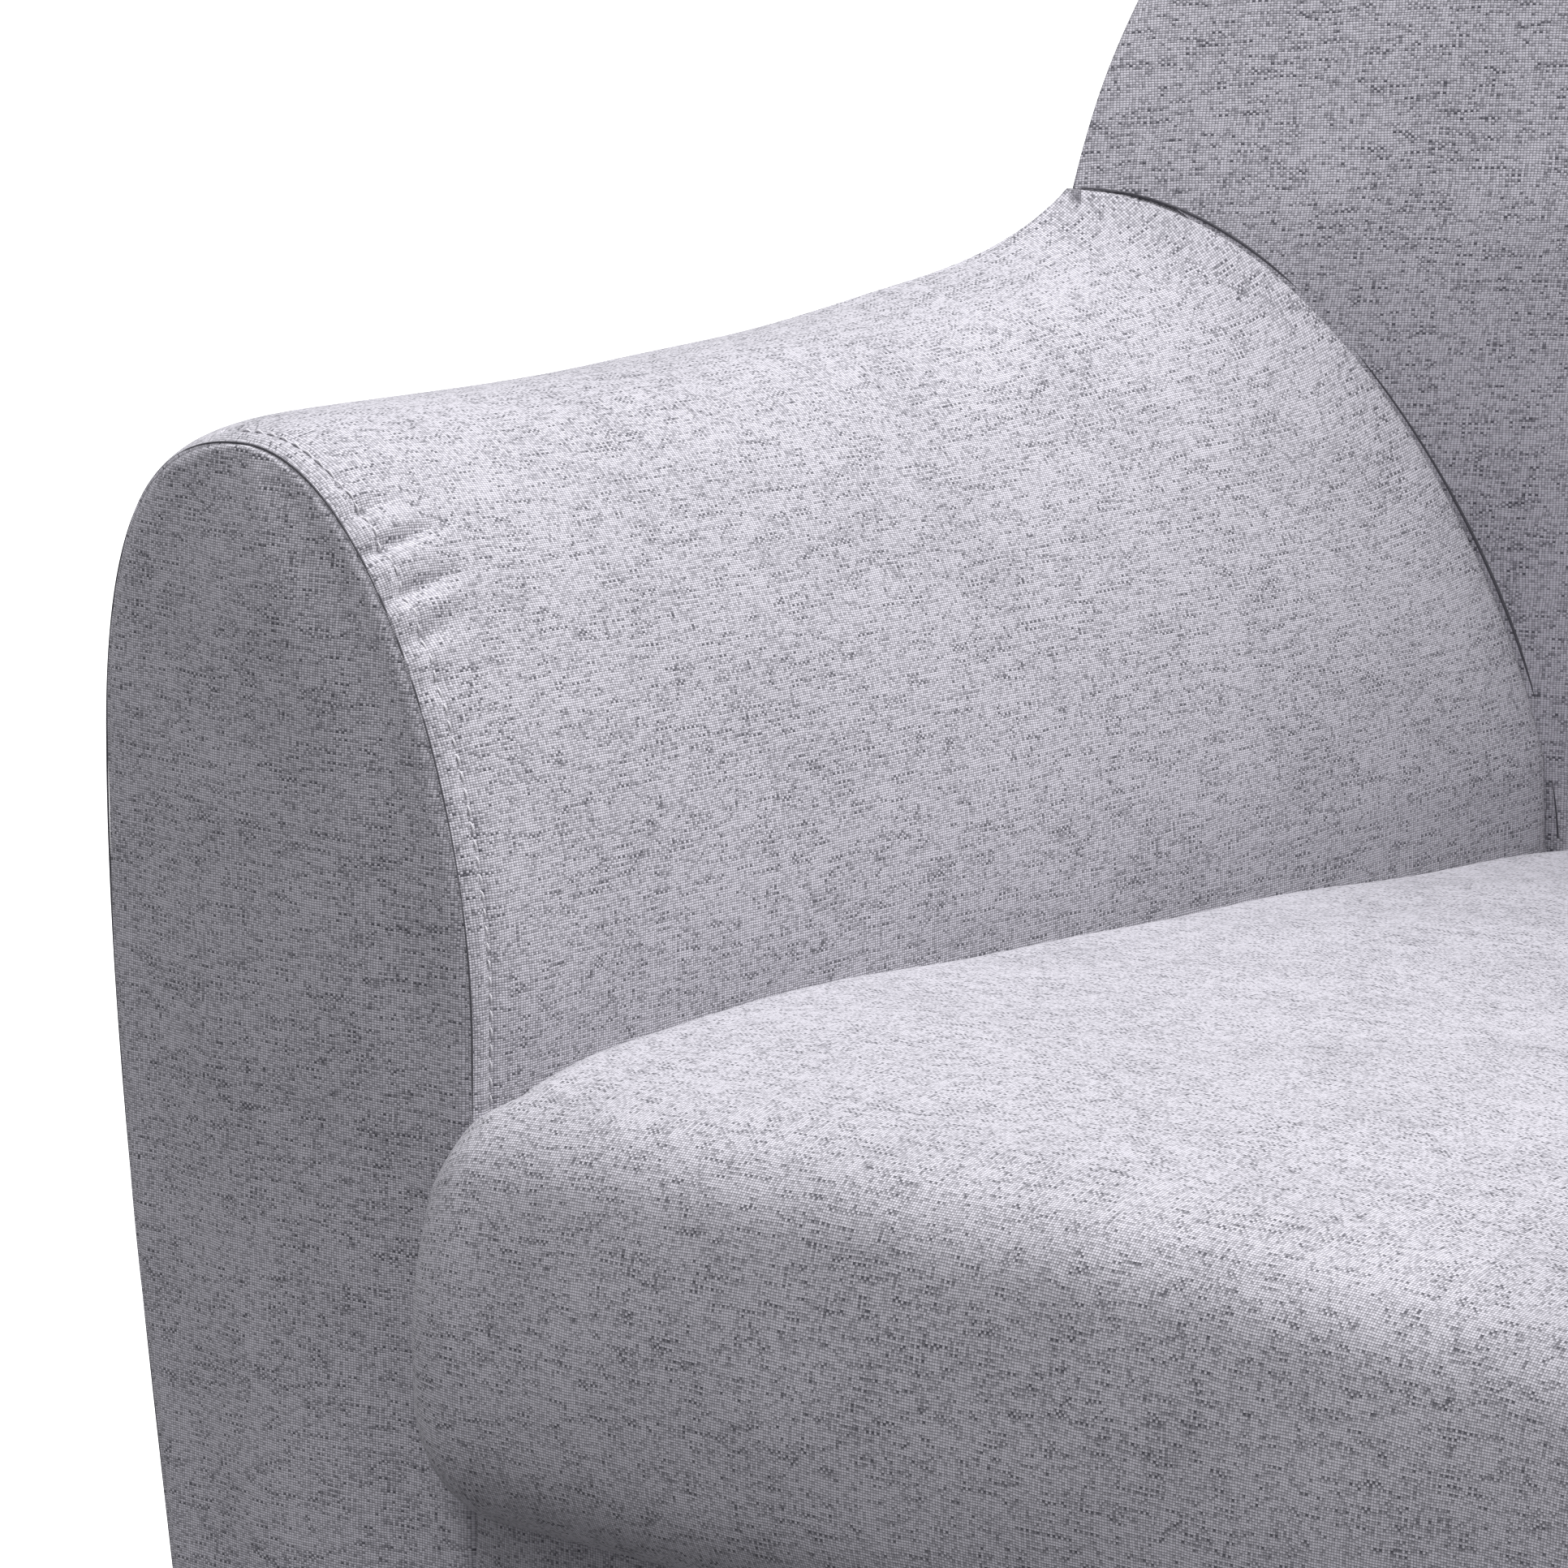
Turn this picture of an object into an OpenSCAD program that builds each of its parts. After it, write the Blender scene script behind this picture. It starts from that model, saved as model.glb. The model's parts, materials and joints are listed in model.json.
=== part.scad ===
// Upholstered rocking chair: a padded tub body with a high back, on two arc rockers.
// Frame: +Z up, the seat opens towards -Y, +X is to the right when looking along +Y.
// Origin: on the floor under the middle of the bounding box. All sizes in millimetres.

/* [Body] */
// clear width of the seat between the arms
seat_w = 470; // [450:5:500]
// widest thickness of one arm
arm_w = 150; // [140:2:160]
// height of the arm top at its front seam
arm_h = 633; // [615:1:650]
// height of the underside of the body
body_z = 232; // [222:1:240]
// distance from the chair's middle to the front faces of the arms
front_y = 404; // [395:1:410]
// height of the top of the back
back_h = 972; // [950:1:990]
// thickness of a fabric cover with its wadding
cover_t = 4; // [3:0.5:5]

/* [Seat cushion] */
// height of the cushion top at its side edges
seat_h = 455; // [448:1:462]
// thickness of the cushion at its front edge
cushion_t = 132; // [120:1:138]
// rise of the cushion's middle above its sides
seat_crown = 9; // [5:1:14]

/* [Rocking base] */
// radius of the rocker's running edge
rocker_r = 1000; // [900:10:1200]
// length of a rocker from tip to tip
rocker_len = 880; // [860:5:900]
// height of the rocker's section
rocker_h = 44; // [38:1:50]
// thickness of a rocker across the chair
rocker_t = 30; // [26:1:34]
// distance from the chair's middle to a rocker
rocker_x = 272; // [262:1:282]
// where the rockers touch the floor at rest, under the chair's centre of mass
rest_y = -70; // [-80:1:-60]

/* [Hardware] */
// diameter of the bolts that hold the rockers to the legs
bolt_d = 6; // [5:0.5:8]
// diameter of the wire of the seat springs
spring_d = 3.8; // [3:0.1:5]
// number of seat springs
spring_count = 4; // [3:1:5]

/* [Output] */
// which sub-part is drawn

/* [Hidden] */
// clearance between pieces that lie on each other
gap = 0.4;
fabric = [0.66, 0.65, 0.68];
fabric_dark = [0.12, 0.12, 0.13];
foam = [0.93, 0.88, 0.66];
pine = [0.82, 0.68, 0.47];
beech = [0.78, 0.6, 0.4];
steel = [0.62, 0.63, 0.65];
felt = [0.75, 0.74, 0.7];

half_seat = seat_w / 2;
wood_t = 18;
rail_t = 22;
rail_h = 82;
rail_top = body_z + 4 + rail_h;
cushion_bottom = seat_h - cushion_t;
cover_front = front_y - 12;
// the seam between arm and back: it starts at the seat and ends at the arm's outer top edge
seam_seat_y = 115;
seam_top_y = 0;
seam_top_z = arm_h + 22;
// the edge of an arm's inner cover on the section's running number
outer_seam = 1.25;
foam_t = 22;

// ---- curves ----

function bez(p, t) = p[0] * pow(1 - t, 3) + 3 * p[1] * pow(1 - t, 2) * t
    + 3 * p[2] * (1 - t) * t * t + p[3] * pow(t, 3);
function mix(a, b, t) = a * (1 - t) + b * t;
function clamp01(t) = min(1, max(0, t));
function smooth(t) = let (c = clamp01(t)) c * c * (3 - 2 * c);

// Section of an arm, [outward distance from the inner face, height]. The running number s goes
// -1..0 up the straight inner face, 0..1 to the top, 1..2 to the outer shoulder, 2..3 down the side.
inner_z = arm_h - 168;
shoulder_z = arm_h - 98;
arm_top_u = 0.6 * arm_w;
arm_foot_u = 0.79 * arm_w;
section_inner = [[0, inner_z], [0, inner_z + 75], [0.27 * arm_w, arm_h], [arm_top_u, arm_h]];
section_outer = [[arm_top_u, arm_h], [0.85 * arm_w, arm_h], [arm_w, arm_h - 25], [arm_w, shoulder_z]];
section_side = [[arm_w, shoulder_z], [1.005 * arm_w, shoulder_z - 95], [0.88 * arm_w, body_z + 98],
    [arm_foot_u, body_z]];
function section(s) =
    s < 0 ? [0, mix(inner_z, body_z, -s)] :
    s < 1 ? bez(section_inner, s) :
    s < 2 ? bez(section_outer, s - 1) : bez(section_side, s - 2);
// unit vector across the section, pointing into the arm
function section_in(s) = let (d = section(min(3, s + 0.02)) - section(max(-1, s - 0.02)))
    [d[1], -d[0]] / norm(d);

// The seam between arm and back as [outward from the chair's middle, y, z], t from seat to arm top.
seam_curve = [[half_seat + 1, seam_seat_y - 2, inner_z - 28], [half_seat + 1, seam_seat_y - 8, inner_z + 49],
    [half_seat + 52, seam_seat_y - 49, seam_top_z - 1], [half_seat + 115, seam_top_y, seam_top_z]];
function seam(t) = bez(seam_curve, t);

// where along the seam the arm's straight inner face ends
seam_start = 0.12;

// The arm's top sinks a little on its way to the back, before it sweeps up into it.
arm_sag = 14;
function sag(s, v) = arm_sag * v * (1 - pow(v, 12)) * smooth(s / 0.6) * smooth(2.6 - s);

// The arm's surface: s across, v from the front (0) to the seam with the back (1), sunk by "deep".
function arm_rear(s) =
    s < 0 ? let (low = seam(seam_start)) [low[0], low[1], mix(low[2], body_z, -s)] :
    s < outer_seam ? seam(mix(seam_start, 1, s / outer_seam)) :
    let (fade = (3 - s) / (3 - outer_seam), p = section(s))
    [half_seat + p[0] - 5 * sin(180 * fade), seam_top_y + 40 * (1 - fade), p[1] + 25 * pow(fade, 3)];
function arm_surface(s, v, deep, y0) =
    let (p = section(s) + section_in(s) * deep, q = section(s), r = arm_rear(s), g = pow(v, 3))
    [half_seat + p[0] + (r[0] - half_seat - q[0]) * g, mix(y0, r[1], v),
    p[1] + (r[2] - q[1]) * g - sag(s, v)];

// Half width, front edge and centre line of the back at height z.
back_rise = back_h - seam_top_z;
back_half = half_seat + 115;
back_power = 2.9;
last_turn = 80;
function turn_z(turn) = seam_top_z + (back_rise - 4) * pow(sin(turn), 2 / back_power);
function turn_x(turn) = back_half * pow(cos(turn), 2 / back_power);
function edge_y(z) = let (d = z - seam_top_z)
    seam_top_y + 0.35 * d + 0.00125 * d * d + 26 * pow(max(0, d) / back_rise, 6);
function centre_y(z) = seam_seat_y + 37 + 0.215 * (z - inner_z);
function rear_y(z) = let (h = clamp01((z - back_h + 75) / 75))
    265 + 0.155 * (z - body_z) - 62 * (1 - sqrt(1 - 0.97 * h * h));
// The edge of the back starts sharp at the arms and grows rounder towards the top.
edge_r0 = 1.6;
edge_r1 = 26;
edge_grows = 240;
hollow_power = 2.2;
function edge_r(z) = z < seam_top_z ? 0.01
    : mix(edge_r0, edge_r1, smooth((z - seam_top_z) / edge_grows));

// A row of the inside back: [half width, edge y, height]; rows 0..low_rows follow the seam with the arm.
low_rows = 9;
high_rows = 14;
function back_row(i) = i <= low_rows
    ? let (p = seam(i / low_rows)) [p[0], p[1], p[2]]
    : let (turn = last_turn * pow((i - low_rows) / high_rows, 1.15), z = turn_z(turn))
      [turn_x(turn), edge_y(z), z];
// How a row [half width, edge y, height] rolls over its edge: radius, first angle, and centre.
function roll(row) =
    let (r = edge_r(row[2]) * min(1, row[0] / 90), yc = centre_y(row[2]), forward = yc - row[1],
        start = -90 - atan(hollow_power * forward / row[0]), cx = row[0] - r, ex = cx + r * cos(start),
        ey = yc - forward * pow(max(0, ex) / row[0], hollow_power))
    [r, start, cx, ey - r * sin(start), ex];
// A point of that row: w from 0 (middle) to 1 (outer edge).
roll_share = 0.22;
function back_point(row, w) =
    let (turned = roll(row), r = turned[0], start = turned[1], yc = centre_y(row[2]),
        share = roll_share * r / edge_r1, flat = 1 - share,
        turn = w <= flat ? start : start * (1 - (w - flat) / share), x = turned[4] * w / flat)
    w <= flat
        ? [x, yc - (yc - row[1]) * pow(max(0, x) / row[0], hollow_power), row[2]]
        : [turned[2] + r * cos(turn), turned[3] + r * sin(turn), row[2]];

// ---- solids from grids of points ----

// A closed sheet between an outer grid and an inner grid with the same rows and columns.
module sheet(top, bottom) {
    rows = len(top);
    cols = len(top[0]);
    n = rows * cols;
    function at(i, j) = i * cols + j;
    edge = concat(
        [for (j = [0 : cols - 2]) [at(0, j), at(0, j + 1)]],
        [for (i = [0 : rows - 2]) [at(i, cols - 1), at(i + 1, cols - 1)]],
        [for (j = [cols - 1 : -1 : 1]) [at(rows - 1, j), at(rows - 1, j - 1)]],
        [for (i = [rows - 1 : -1 : 1]) [at(i, 0), at(i - 1, 0)]]);
    polyhedron(
        points = concat([for (r = top) each r], [for (r = bottom) each r]),
        faces = concat(
            [for (i = [0 : rows - 2], j = [0 : cols - 2]) [at(i, j), at(i + 1, j), at(i + 1, j + 1)]],
            [for (i = [0 : rows - 2], j = [0 : cols - 2]) [at(i, j), at(i + 1, j + 1), at(i, j + 1)]],
            [for (i = [0 : rows - 2], j = [0 : cols - 2])
                [n + at(i, j), n + at(i + 1, j + 1), n + at(i + 1, j)]],
            [for (i = [0 : rows - 2], j = [0 : cols - 2])
                [n + at(i, j), n + at(i, j + 1), n + at(i + 1, j + 1)]],
            [for (e = edge) [e[0], e[1], n + e[1]]],
            [for (e = edge) [e[0], n + e[1], n + e[0]]]),
        convexity = 6);
}

// A closed solid from rings of points; each end is closed from the ring's middle point.
module rings(list) {
    cols = len(list[0]);
    rows = len(list);
    n = rows * cols;
    first = [for (k = [0 : 2]) [for (p = list[0]) p[k]] * [for (j = [1 : cols]) 1] / cols];
    last = [for (k = [0 : 2]) [for (p = list[rows - 1]) p[k]] * [for (j = [1 : cols]) 1] / cols];
    function at(i, j) = i * cols + (j % cols);
    polyhedron(
        points = concat([for (r = list) each r], [first, last]),
        faces = concat(
            [for (i = [0 : rows - 2], j = [0 : cols - 1]) [at(i, j), at(i + 1, j), at(i + 1, j + 1)]],
            [for (i = [0 : rows - 2], j = [0 : cols - 1]) [at(i, j), at(i + 1, j + 1), at(i, j + 1)]],
            [for (j = [0 : cols - 1]) [n, at(0, j), at(0, j + 1)]],
            [for (j = [0 : cols - 1]) [n + 1, at(rows - 1, j + 1), at(rows - 1, j)]]),
        convexity = 4);
}

module box(from, to) {
    translate(from) cube(to - from);
}

// right-hand pieces are drawn as built, left-hand pieces are their mirror image
module side(dir) {
    if (dir > 0) children();
    else mirror([1, 0, 0]) children();
}

// ---- rocking base ----

module rocker_ring(r, x0, x1) {
    translate([x0, rest_y, rocker_r]) rotate([0, 90, 0]) cylinder(h = x1 - x0, r = r, $fn = 360);
}

// from the top down: rail, lining, leg plate, leg
rail_z0 = body_z + 4;
lining_t = 1;
plate_t = 3;
plate_z = rail_z0 - lining_t - plate_t - 2 * gap;
leg_top_z = plate_z - gap;
// each leg as [y at its top, y at its foot]
leg_front = [-322, -342];
leg_rear = [150, 200];
tip_r = rocker_h / 2;
mid_r = rocker_r - tip_r;
// the lean of the rocker's radius at a place y, and the point [y, z] at that lean on a radius r
function lean_at(y) = asin((y - rest_y) / mid_r);
function on_ring(r, lean) = [rest_y + r * sin(lean), rocker_r - r * cos(lean)];

module rocker(dir) {
    x0 = rocker_x - rocker_t / 2;
    x1 = rocker_x + rocker_t / 2;
    front = asin((rocker_len / 2 - tip_r + rest_y) / mid_r);
    rear = asin((rocker_len / 2 - tip_r - rest_y) / mid_r);
    reach = rocker_r + 60;
    color(beech) side(dir) difference() {
        union() {
            difference() {
                intersection() {
                    rocker_ring(rocker_r, x0, x1);
                    translate([x0, rest_y, rocker_r]) rotate([0, 90, 0]) linear_extrude(x1 - x0)
                        polygon([[0, 0], [reach * cos(front), -reach * sin(front)], [reach * 1.1, 0],
                            [reach * cos(rear), reach * sin(rear)]]);
                }
                rocker_ring(rocker_r - rocker_h, x0 - 1, x1 + 1);
            }
            for (lean = [-front, rear]) {
                p = on_ring(mid_r, lean);
                translate([x0, p[0], p[1]]) rotate([0, 90, 0]) cylinder(h = x1 - x0, r = tip_r, $fn = 64);
            }
        }
        for (y = [leg_front[1], leg_rear[1]]) bolt_hole(y);
    }
}

module along_radius(y) {
    lean = lean_at(y);
    p = on_ring(rocker_r, lean);
    translate([rocker_x, p[0], p[1]]) rotate([lean, 0, 0]) children();
}

// a bolt runs from the counterbore in the rocker's running edge up into the leg
counterbore_d = 16;
counterbore_h = 12;
bolt_reach = 68;
bolt_play = 1;
bolt_head_d = 13;
bolt_head_h = 5;
socket_d = 5;
socket_h = 3;
cut = 5;
module bolt_hole(y) {
    along_radius(y) translate([0, 0, -cut]) {
        cylinder(h = cut + bolt_reach + 2, d = bolt_d + bolt_play, $fn = 32);
        cylinder(h = cut + counterbore_h, d = counterbore_d, $fn = 32);
    }
}

module rocker_bolts() {
    color(steel) for (dir = [-1, 1], y = [leg_front[1], leg_rear[1]]) side(dir) along_radius(y) {
        translate([0, 0, counterbore_h]) cylinder(h = bolt_reach - counterbore_h, d = bolt_d, $fn = 32);
        difference() {
            translate([0, 0, counterbore_h - bolt_head_h])
                cylinder(h = bolt_head_h, d = bolt_head_d, $fn = 32);
            translate([0, 0, counterbore_h - bolt_head_h - 1])
                cylinder(h = socket_h + 1, d = socket_d, $fn = 6);
        }
    }
}

leg_foot_d = 30;
leg_top_d = 42;
leg_reach = 40;
hanger_d = 8;
hanger_down = 34;
hanger_up = 24;
stretcher_z = 158;
stretcher_d = 24;
tenon_d = 16;
tenon_depth = 30;
function leg_y(ends, z) = let (foot = on_ring(rocker_r - rocker_h, lean_at(ends[1]))[1])
    mix(ends[1], ends[0], (z - foot) / (leg_top_z - foot));
module leg(dir, ends) {
    foot = on_ring(rocker_r - rocker_h, lean_at(ends[1]))[1];
    tall = leg_top_z - foot;
    tilt = atan((ends[1] - ends[0]) / tall);
    spare = 20;
    long = tall / cos(tilt) + 2 * spare;
    color(beech) side(dir) difference() {
        intersection() {
            translate([rocker_x, ends[1], foot]) rotate([tilt, 0, 0]) translate([0, 0, -spare])
                cylinder(h = long, d1 = leg_foot_d, d2 = leg_top_d, $fn = 64);
            rocker_ring(rocker_r - rocker_h - gap / 2, rocker_x - leg_reach, rocker_x + leg_reach);
            box([rocker_x - leg_reach, ends[1] - 90, 20], [rocker_x + leg_reach, ends[1] + 90, leg_top_z]);
        }
        bolt_hole(ends[1]);
        translate([rocker_x, ends[0], leg_top_z - hanger_down - 2])
            cylinder(h = hanger_down + 6, d = hanger_d, $fn = 32);
        translate([rocker_x - tenon_depth, leg_y(ends, stretcher_z), stretcher_z]) rotate([0, 90, 0])
            cylinder(h = tenon_depth, d = tenon_d + gap, $fn = 48);
    }
}

module stretcher(ends) {
    shoulder = rocker_x - leg_top_d / 2 - 1;
    color(beech) translate([0, leg_y(ends, stretcher_z), stretcher_z]) rotate([0, 90, 0]) {
        translate([0, 0, -shoulder]) cylinder(h = 2 * shoulder, d = stretcher_d, $fn = 64);
        translate([0, 0, -rocker_x + 1]) cylinder(h = 2 * rocker_x - 2, d = tenon_d, $fn = 48);
    }
}

plate_half = 34;
screw_at = 25;
screw_d = 4;
screw_l = 14;
screw_head_d = 9;
screw_head_h = 2.2;
screw_fit = 5;
screw_pilot = 4.4;
module plate_holes(ends, hanger, screw) {
    translate([rocker_x, ends[0], plate_z - 1]) cylinder(h = 60, d = hanger, $fn = 32);
    for (sx = [-1, 1], sy = [-1, 1])
        translate([rocker_x + sx * screw_at, ends[0] + sy * screw_at, plate_z - 1])
            cylinder(h = 17, d = screw, $fn = 24);
}

module leg_plates() {
    color(steel) for (dir = [-1, 1], ends = [leg_front, leg_rear]) side(dir) difference() {
        box([rocker_x - plate_half, ends[0] - plate_half, plate_z],
            [rocker_x + plate_half, ends[0] + plate_half, plate_z + plate_t]);
        plate_holes(ends, hanger_d + gap, screw_fit);
    }
}

module leg_plate_screws() {
    color(steel) for (dir = [-1, 1], ends = [leg_front, leg_rear], sx = [-1, 1], sy = [-1, 1])
        side(dir) translate([rocker_x + sx * screw_at, ends[0] + sy * screw_at, plate_z - gap]) {
            translate([0, 0, -screw_head_h]) cylinder(h = screw_head_h, d = screw_head_d, $fn = 24);
            translate([0, 0, -1]) cylinder(h = screw_l + 1, d = screw_d, $fn = 24);
        }
}

module hanger_bolts() {
    color(steel) for (dir = [-1, 1], ends = [leg_front, leg_rear]) side(dir)
        translate([rocker_x, ends[0], leg_top_z - hanger_down])
            cylinder(h = hanger_down + hanger_up, d = hanger_d - gap, $fn = 32);
}

// ---- seat frame ----

frame_y0 = -cover_front + 2;
frame_y1 = 188;
frame_x = half_seat + 60;
rail_in = half_seat + 28;
rail_out = half_seat + 50;
block_y = 38;
post_w = 26;
post_d = 28;
post_x = half_seat + 1;

module rail_across(y0, half) {
    color(pine) box([-half, y0, rail_z0], [half, y0 + rail_t, rail_top]);
}

module rail_along(dir) {
    block = 24;
    color(pine) side(dir) difference() {
        union() {
            box([rail_in, frame_y0 + rail_t + gap, rail_z0], [rail_out, frame_y1 - gap, rail_top]);
            for (ends = [leg_front, leg_rear])
                box([half_seat + 4, max(ends[0] - block_y, frame_y0 + rail_t + gap), rail_z0],
                    [half_seat + 70, min(ends[0] + block_y, frame_y1 - gap), rail_z0 + block]);
        }
        for (ends = [leg_front, leg_rear]) plate_holes(ends, hanger_d + gap, screw_pilot);
    }
}

module corner_blocks() {
    leg = 56;
    color(pine) for (dir = [-1, 1]) side(dir) {
        for (end = [[frame_y0 + rail_t + gap, 1], [frame_y1 - gap, -1]])
            translate([rail_in - gap, end[0], rail_top - 40]) linear_extrude(34)
                polygon([[0, 0], [-leg, 0], [0, end[1] * leg]]);
    }
}

spring_z = rail_top + 4;
spring_half_w = 22;
spring_loops = 7;
spring_y0 = frame_y0 + 12;
spring_pitch = (frame_y1 + 10 - spring_y0) / (spring_loops + 1);
bend_r = spring_pitch / 2;

module wire_bar(from, to) {
    along_x = abs(to[0] - from[0]) > abs(to[1] - from[1]);
    translate([from[0], from[1], spring_z]) rotate(along_x ? [0, 90, 0] : [-90, 0, 0])
        cylinder(h = norm(to - from), d = spring_d, $fn = 16);
}

module seat_spring(x) {
    arm = spring_half_w - bend_r + 8;
    translate([x, 0, 0]) {
        for (k = [0 : spring_loops]) {
            y = spring_y0 + (k + 0.5) * spring_pitch;
            wire_bar([-arm, y], [arm, y]);
        }
        for (k = [0 : spring_loops - 1]) {
            out = k % 2 == 0 ? 1 : -1;
            translate([out * arm, spring_y0 + (k + 1) * spring_pitch, spring_z])
                rotate([0, 0, out > 0 ? -90 : 90])
                rotate_extrude(angle = 180, $fn = 48) translate([bend_r, 0]) circle(d = spring_d, $fn = 16);
        }
    }
}

spring_step = (seat_w - 110) / max(1, spring_count - 1);
module seat_springs() {
    color(steel) for (k = [0 : spring_count - 1]) seat_spring(-half_seat + 55 + k * spring_step);
}

module spring_clips() {
    arm = spring_half_w - bend_r + 8;
    color(steel) for (k = [0 : spring_count - 1], end = [0, spring_loops])
        translate([-half_seat + 55 + k * spring_step, spring_y0 + (end + 0.5) * spring_pitch, spring_z])
            rotate([0, 90, 0]) difference() {
                cylinder(h = 16, d = spring_d + 3.4, center = true, $fn = 32);
                cylinder(h = 18, d = spring_d + 0.3, center = true, $fn = 32);
            }
}

pad_z = spring_z + 5;
module spring_pad() {
    color(felt) box([-half_seat + 6, frame_y0 + 6, pad_z - 1], [half_seat - 6, seam_seat_y - 8, pad_z + 4]);
}

// ---- seat cushion ----

cushion_floor = pad_z + 5;

// The cushion's outline along the chair at a share "w" of its half width, closed, seen from +X.
core_gap = 26;
cushion_nose = front_y + 15;
cushion_rear = seam_seat_y + 22;
function cushion_ring(x, deep) =
    let (w = abs(x) / half_seat, side_in = pow(w, 6), crown = seat_crown * (1 - w * w * w),
        top = seat_h + crown - 4 * side_in - deep, low = cushion_bottom + deep + 2 * side_in,
        nose = -cushion_nose + deep + 8 * side_in, back = cushion_rear - deep - 26 * pow(w, 3), fall = 22)
    [for (p = concat(
        [for (t = [0 : 0.125 : 1]) bez([[nose + 10, low], [nose - 3, low + 12], [nose - 5, low + 40],
            [nose + 1, low + 68]], t)],
        [for (t = [0.14 : 0.14 : 1]) bez([[nose + 1, low + 68], [nose + 8, top - 22], [nose + 35, top - 4],
            [nose + 115, top]], t)],
        [for (t = [0.25 : 0.25 : 1]) bez([[nose + 115, top], [nose + 230, top + 3],
            [back - 160, top - fall * 0.6], [back - 14, top - fall]], t)],
        [for (t = [0.34 : 0.33 : 1]) bez([[back - 14, top - fall], [back - 2, top - fall - 2],
            [back, top - fall - 16], [back, top - fall - 30]], t)],
        [[back, cushion_floor], [-front_y + 10, cushion_floor], [-front_y + 10, low]])) [x, p[0], p[1]]];

side_steps = [for (k = [0 : 7]) 0.99 * (1 - pow(1 - k / 7, 2))];
module cushion_body() {
    xs = concat([for (k = [7 : -1 : 1]) -side_steps[k]], side_steps);
    rings([for (w = xs) cushion_ring((half_seat - gap) * w, 0)]);
}

core_top = seat_h - 34;
core = [[-half_seat + core_gap, -front_y + 32, cushion_floor],
    [half_seat - core_gap, seam_seat_y - 22, core_top]];
module seat_cushion() {
    color(fabric) difference() {
        cushion_body();
        box(core[0] - [gap, gap, 20], core[1] + [gap, gap, gap]);
    }
}

module seat_foam() {
    color(foam) box(core[0] + [0, 0, gap], core[1]);
}

module front_rail_cover() {
    color(fabric) box([-half_seat + gap, -front_y + 2, body_z], [half_seat - gap, -cover_front - gap,
        cushion_bottom - 2]);
}

// The lining under the seat lies between the rails and the leg plates.
module dust_cover() {
    inset = cover_t + 4;
    front_x = half_seat + arm_foot_u - inset;
    rear = [for (k = [0 : 12]) let (p = outer_at(body_z, 15 * k, inset)) [p[0], p[1]]];
    color(fabric_dark) difference() {
        translate([0, 0, rail_z0 - lining_t - gap]) linear_extrude(lining_t)
            polygon(concat([[-front_x, frame_y0 + 4], [front_x, frame_y0 + 4]], rear));
        for (dir = [-1, 1], ends = [leg_front, leg_rear])
            side(dir) plate_holes(ends, hanger_d + gap, screw_fit);
    }
}

// ---- arms ----

section_steps = concat([-1], [for (k = [0 : 9]) k / 8]);
side_run = [for (k = [0 : 10]) mix(outer_seam, 3, k / 10)];
function section_outline(deep) = [for (s = concat(section_steps, side_run))
    section(s) + section_in(s) * deep];

module arm_plate(dir, y0, thick, deep) {
    side(dir) translate([half_seat, y0 + thick, 0]) rotate([90, 0, 0]) linear_extrude(thick)
        polygon([for (p = section_outline(deep)) [p[0], max(p[1], body_z + deep)]]);
}

module arm_front_panel(dir) {
    color(fabric) arm_plate(dir, -front_y, 12 - gap, 0);
}

module arm_front_board(dir) {
    color(pine) arm_plate(dir, -cover_front, wood_t, cover_t + foam_t * 0.2 + gap);
}

lengths = [for (k = [0 : 9]) 1 - pow(1 - k / 9, 1.6)];
module arm_layer(dir, steps, deep, thick, y0, v_end) {
    grid = [for (d = [deep, deep + thick]) [for (s = steps) [for (v = lengths)
        arm_surface(s, v * v_end, d, y0)]]];
    side(dir) sheet(grid[0], grid[1]);
}

inner_steps = [for (k = [0 : 12]) mix(-0.42, outer_seam - 0.06, k / 12)];
module arm_inner_cover(dir) {
    color(fabric) arm_layer(dir, inner_steps, 0, cover_t, -cover_front, 0.985);
}

module arm_outer_cover(dir) {
    steps = [for (s = side_run) max(s, outer_seam + 0.04)];
    color(fabric) arm_layer(dir, steps, 0, cover_t, -cover_front, 0.995);
}

module arm_pad(dir) {
    color(foam) arm_layer(dir, inner_steps, cover_t + gap, foam_t, -cover_front + wood_t + 2, 0.93);
}

arm_rail_w = 44;
arm_rail_x = half_seat + arm_top_u - arm_rail_w / 2;
arm_rail_y1 = seam_seat_y + 13;
module arm_top_rail(dir) {
    z1 = arm_h - cover_t - foam_t - 14;
    color(pine) side(dir) box([arm_rail_x, -cover_front + wood_t + gap, z1 - 30],
        [arm_rail_x + arm_rail_w, arm_rail_y1, z1]);
}

// ---- back ----

rows = [for (i = [0 : low_rows + high_rows]) back_row(i)];
columns = [for (k = [0 : 10]) 0.985 * pow(k / 10, 0.6)];
signed = concat([for (k = [len(columns) - 1 : -1 : 1]) -columns[k]], columns);
function back_at(row, w) = let (p = back_point(row, abs(w))) [w < 0 ? -p[0] : p[0], p[1], p[2]];

// The inside back surface moved rearwards by "deep", measured across the surface.
function behind(row, w, deep) =
    let (p = back_at(row, w), a = back_at(row, w - 0.01), b = back_at(row, w + 0.01), d = b - a,
        n = [-d[1], d[0], 0] / norm([d[0], d[1]]))
    [p[0] + n[0] * deep, p[1] + n[1] * deep, p[2] - 0.12 * deep];

module back_layer(from_row, to_row, w_list, deep, thick) {
    grid = [for (d = [deep + thick, deep]) [for (i = [from_row : to_row]) [for (w = w_list)
        behind(rows[i], w, d)]]];
    sheet(grid[0], grid[1]);
}

module back_inner_cover() {
    color(fabric) back_layer(0, low_rows + high_rows, signed * 0.99, 0, cover_t);
}

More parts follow.
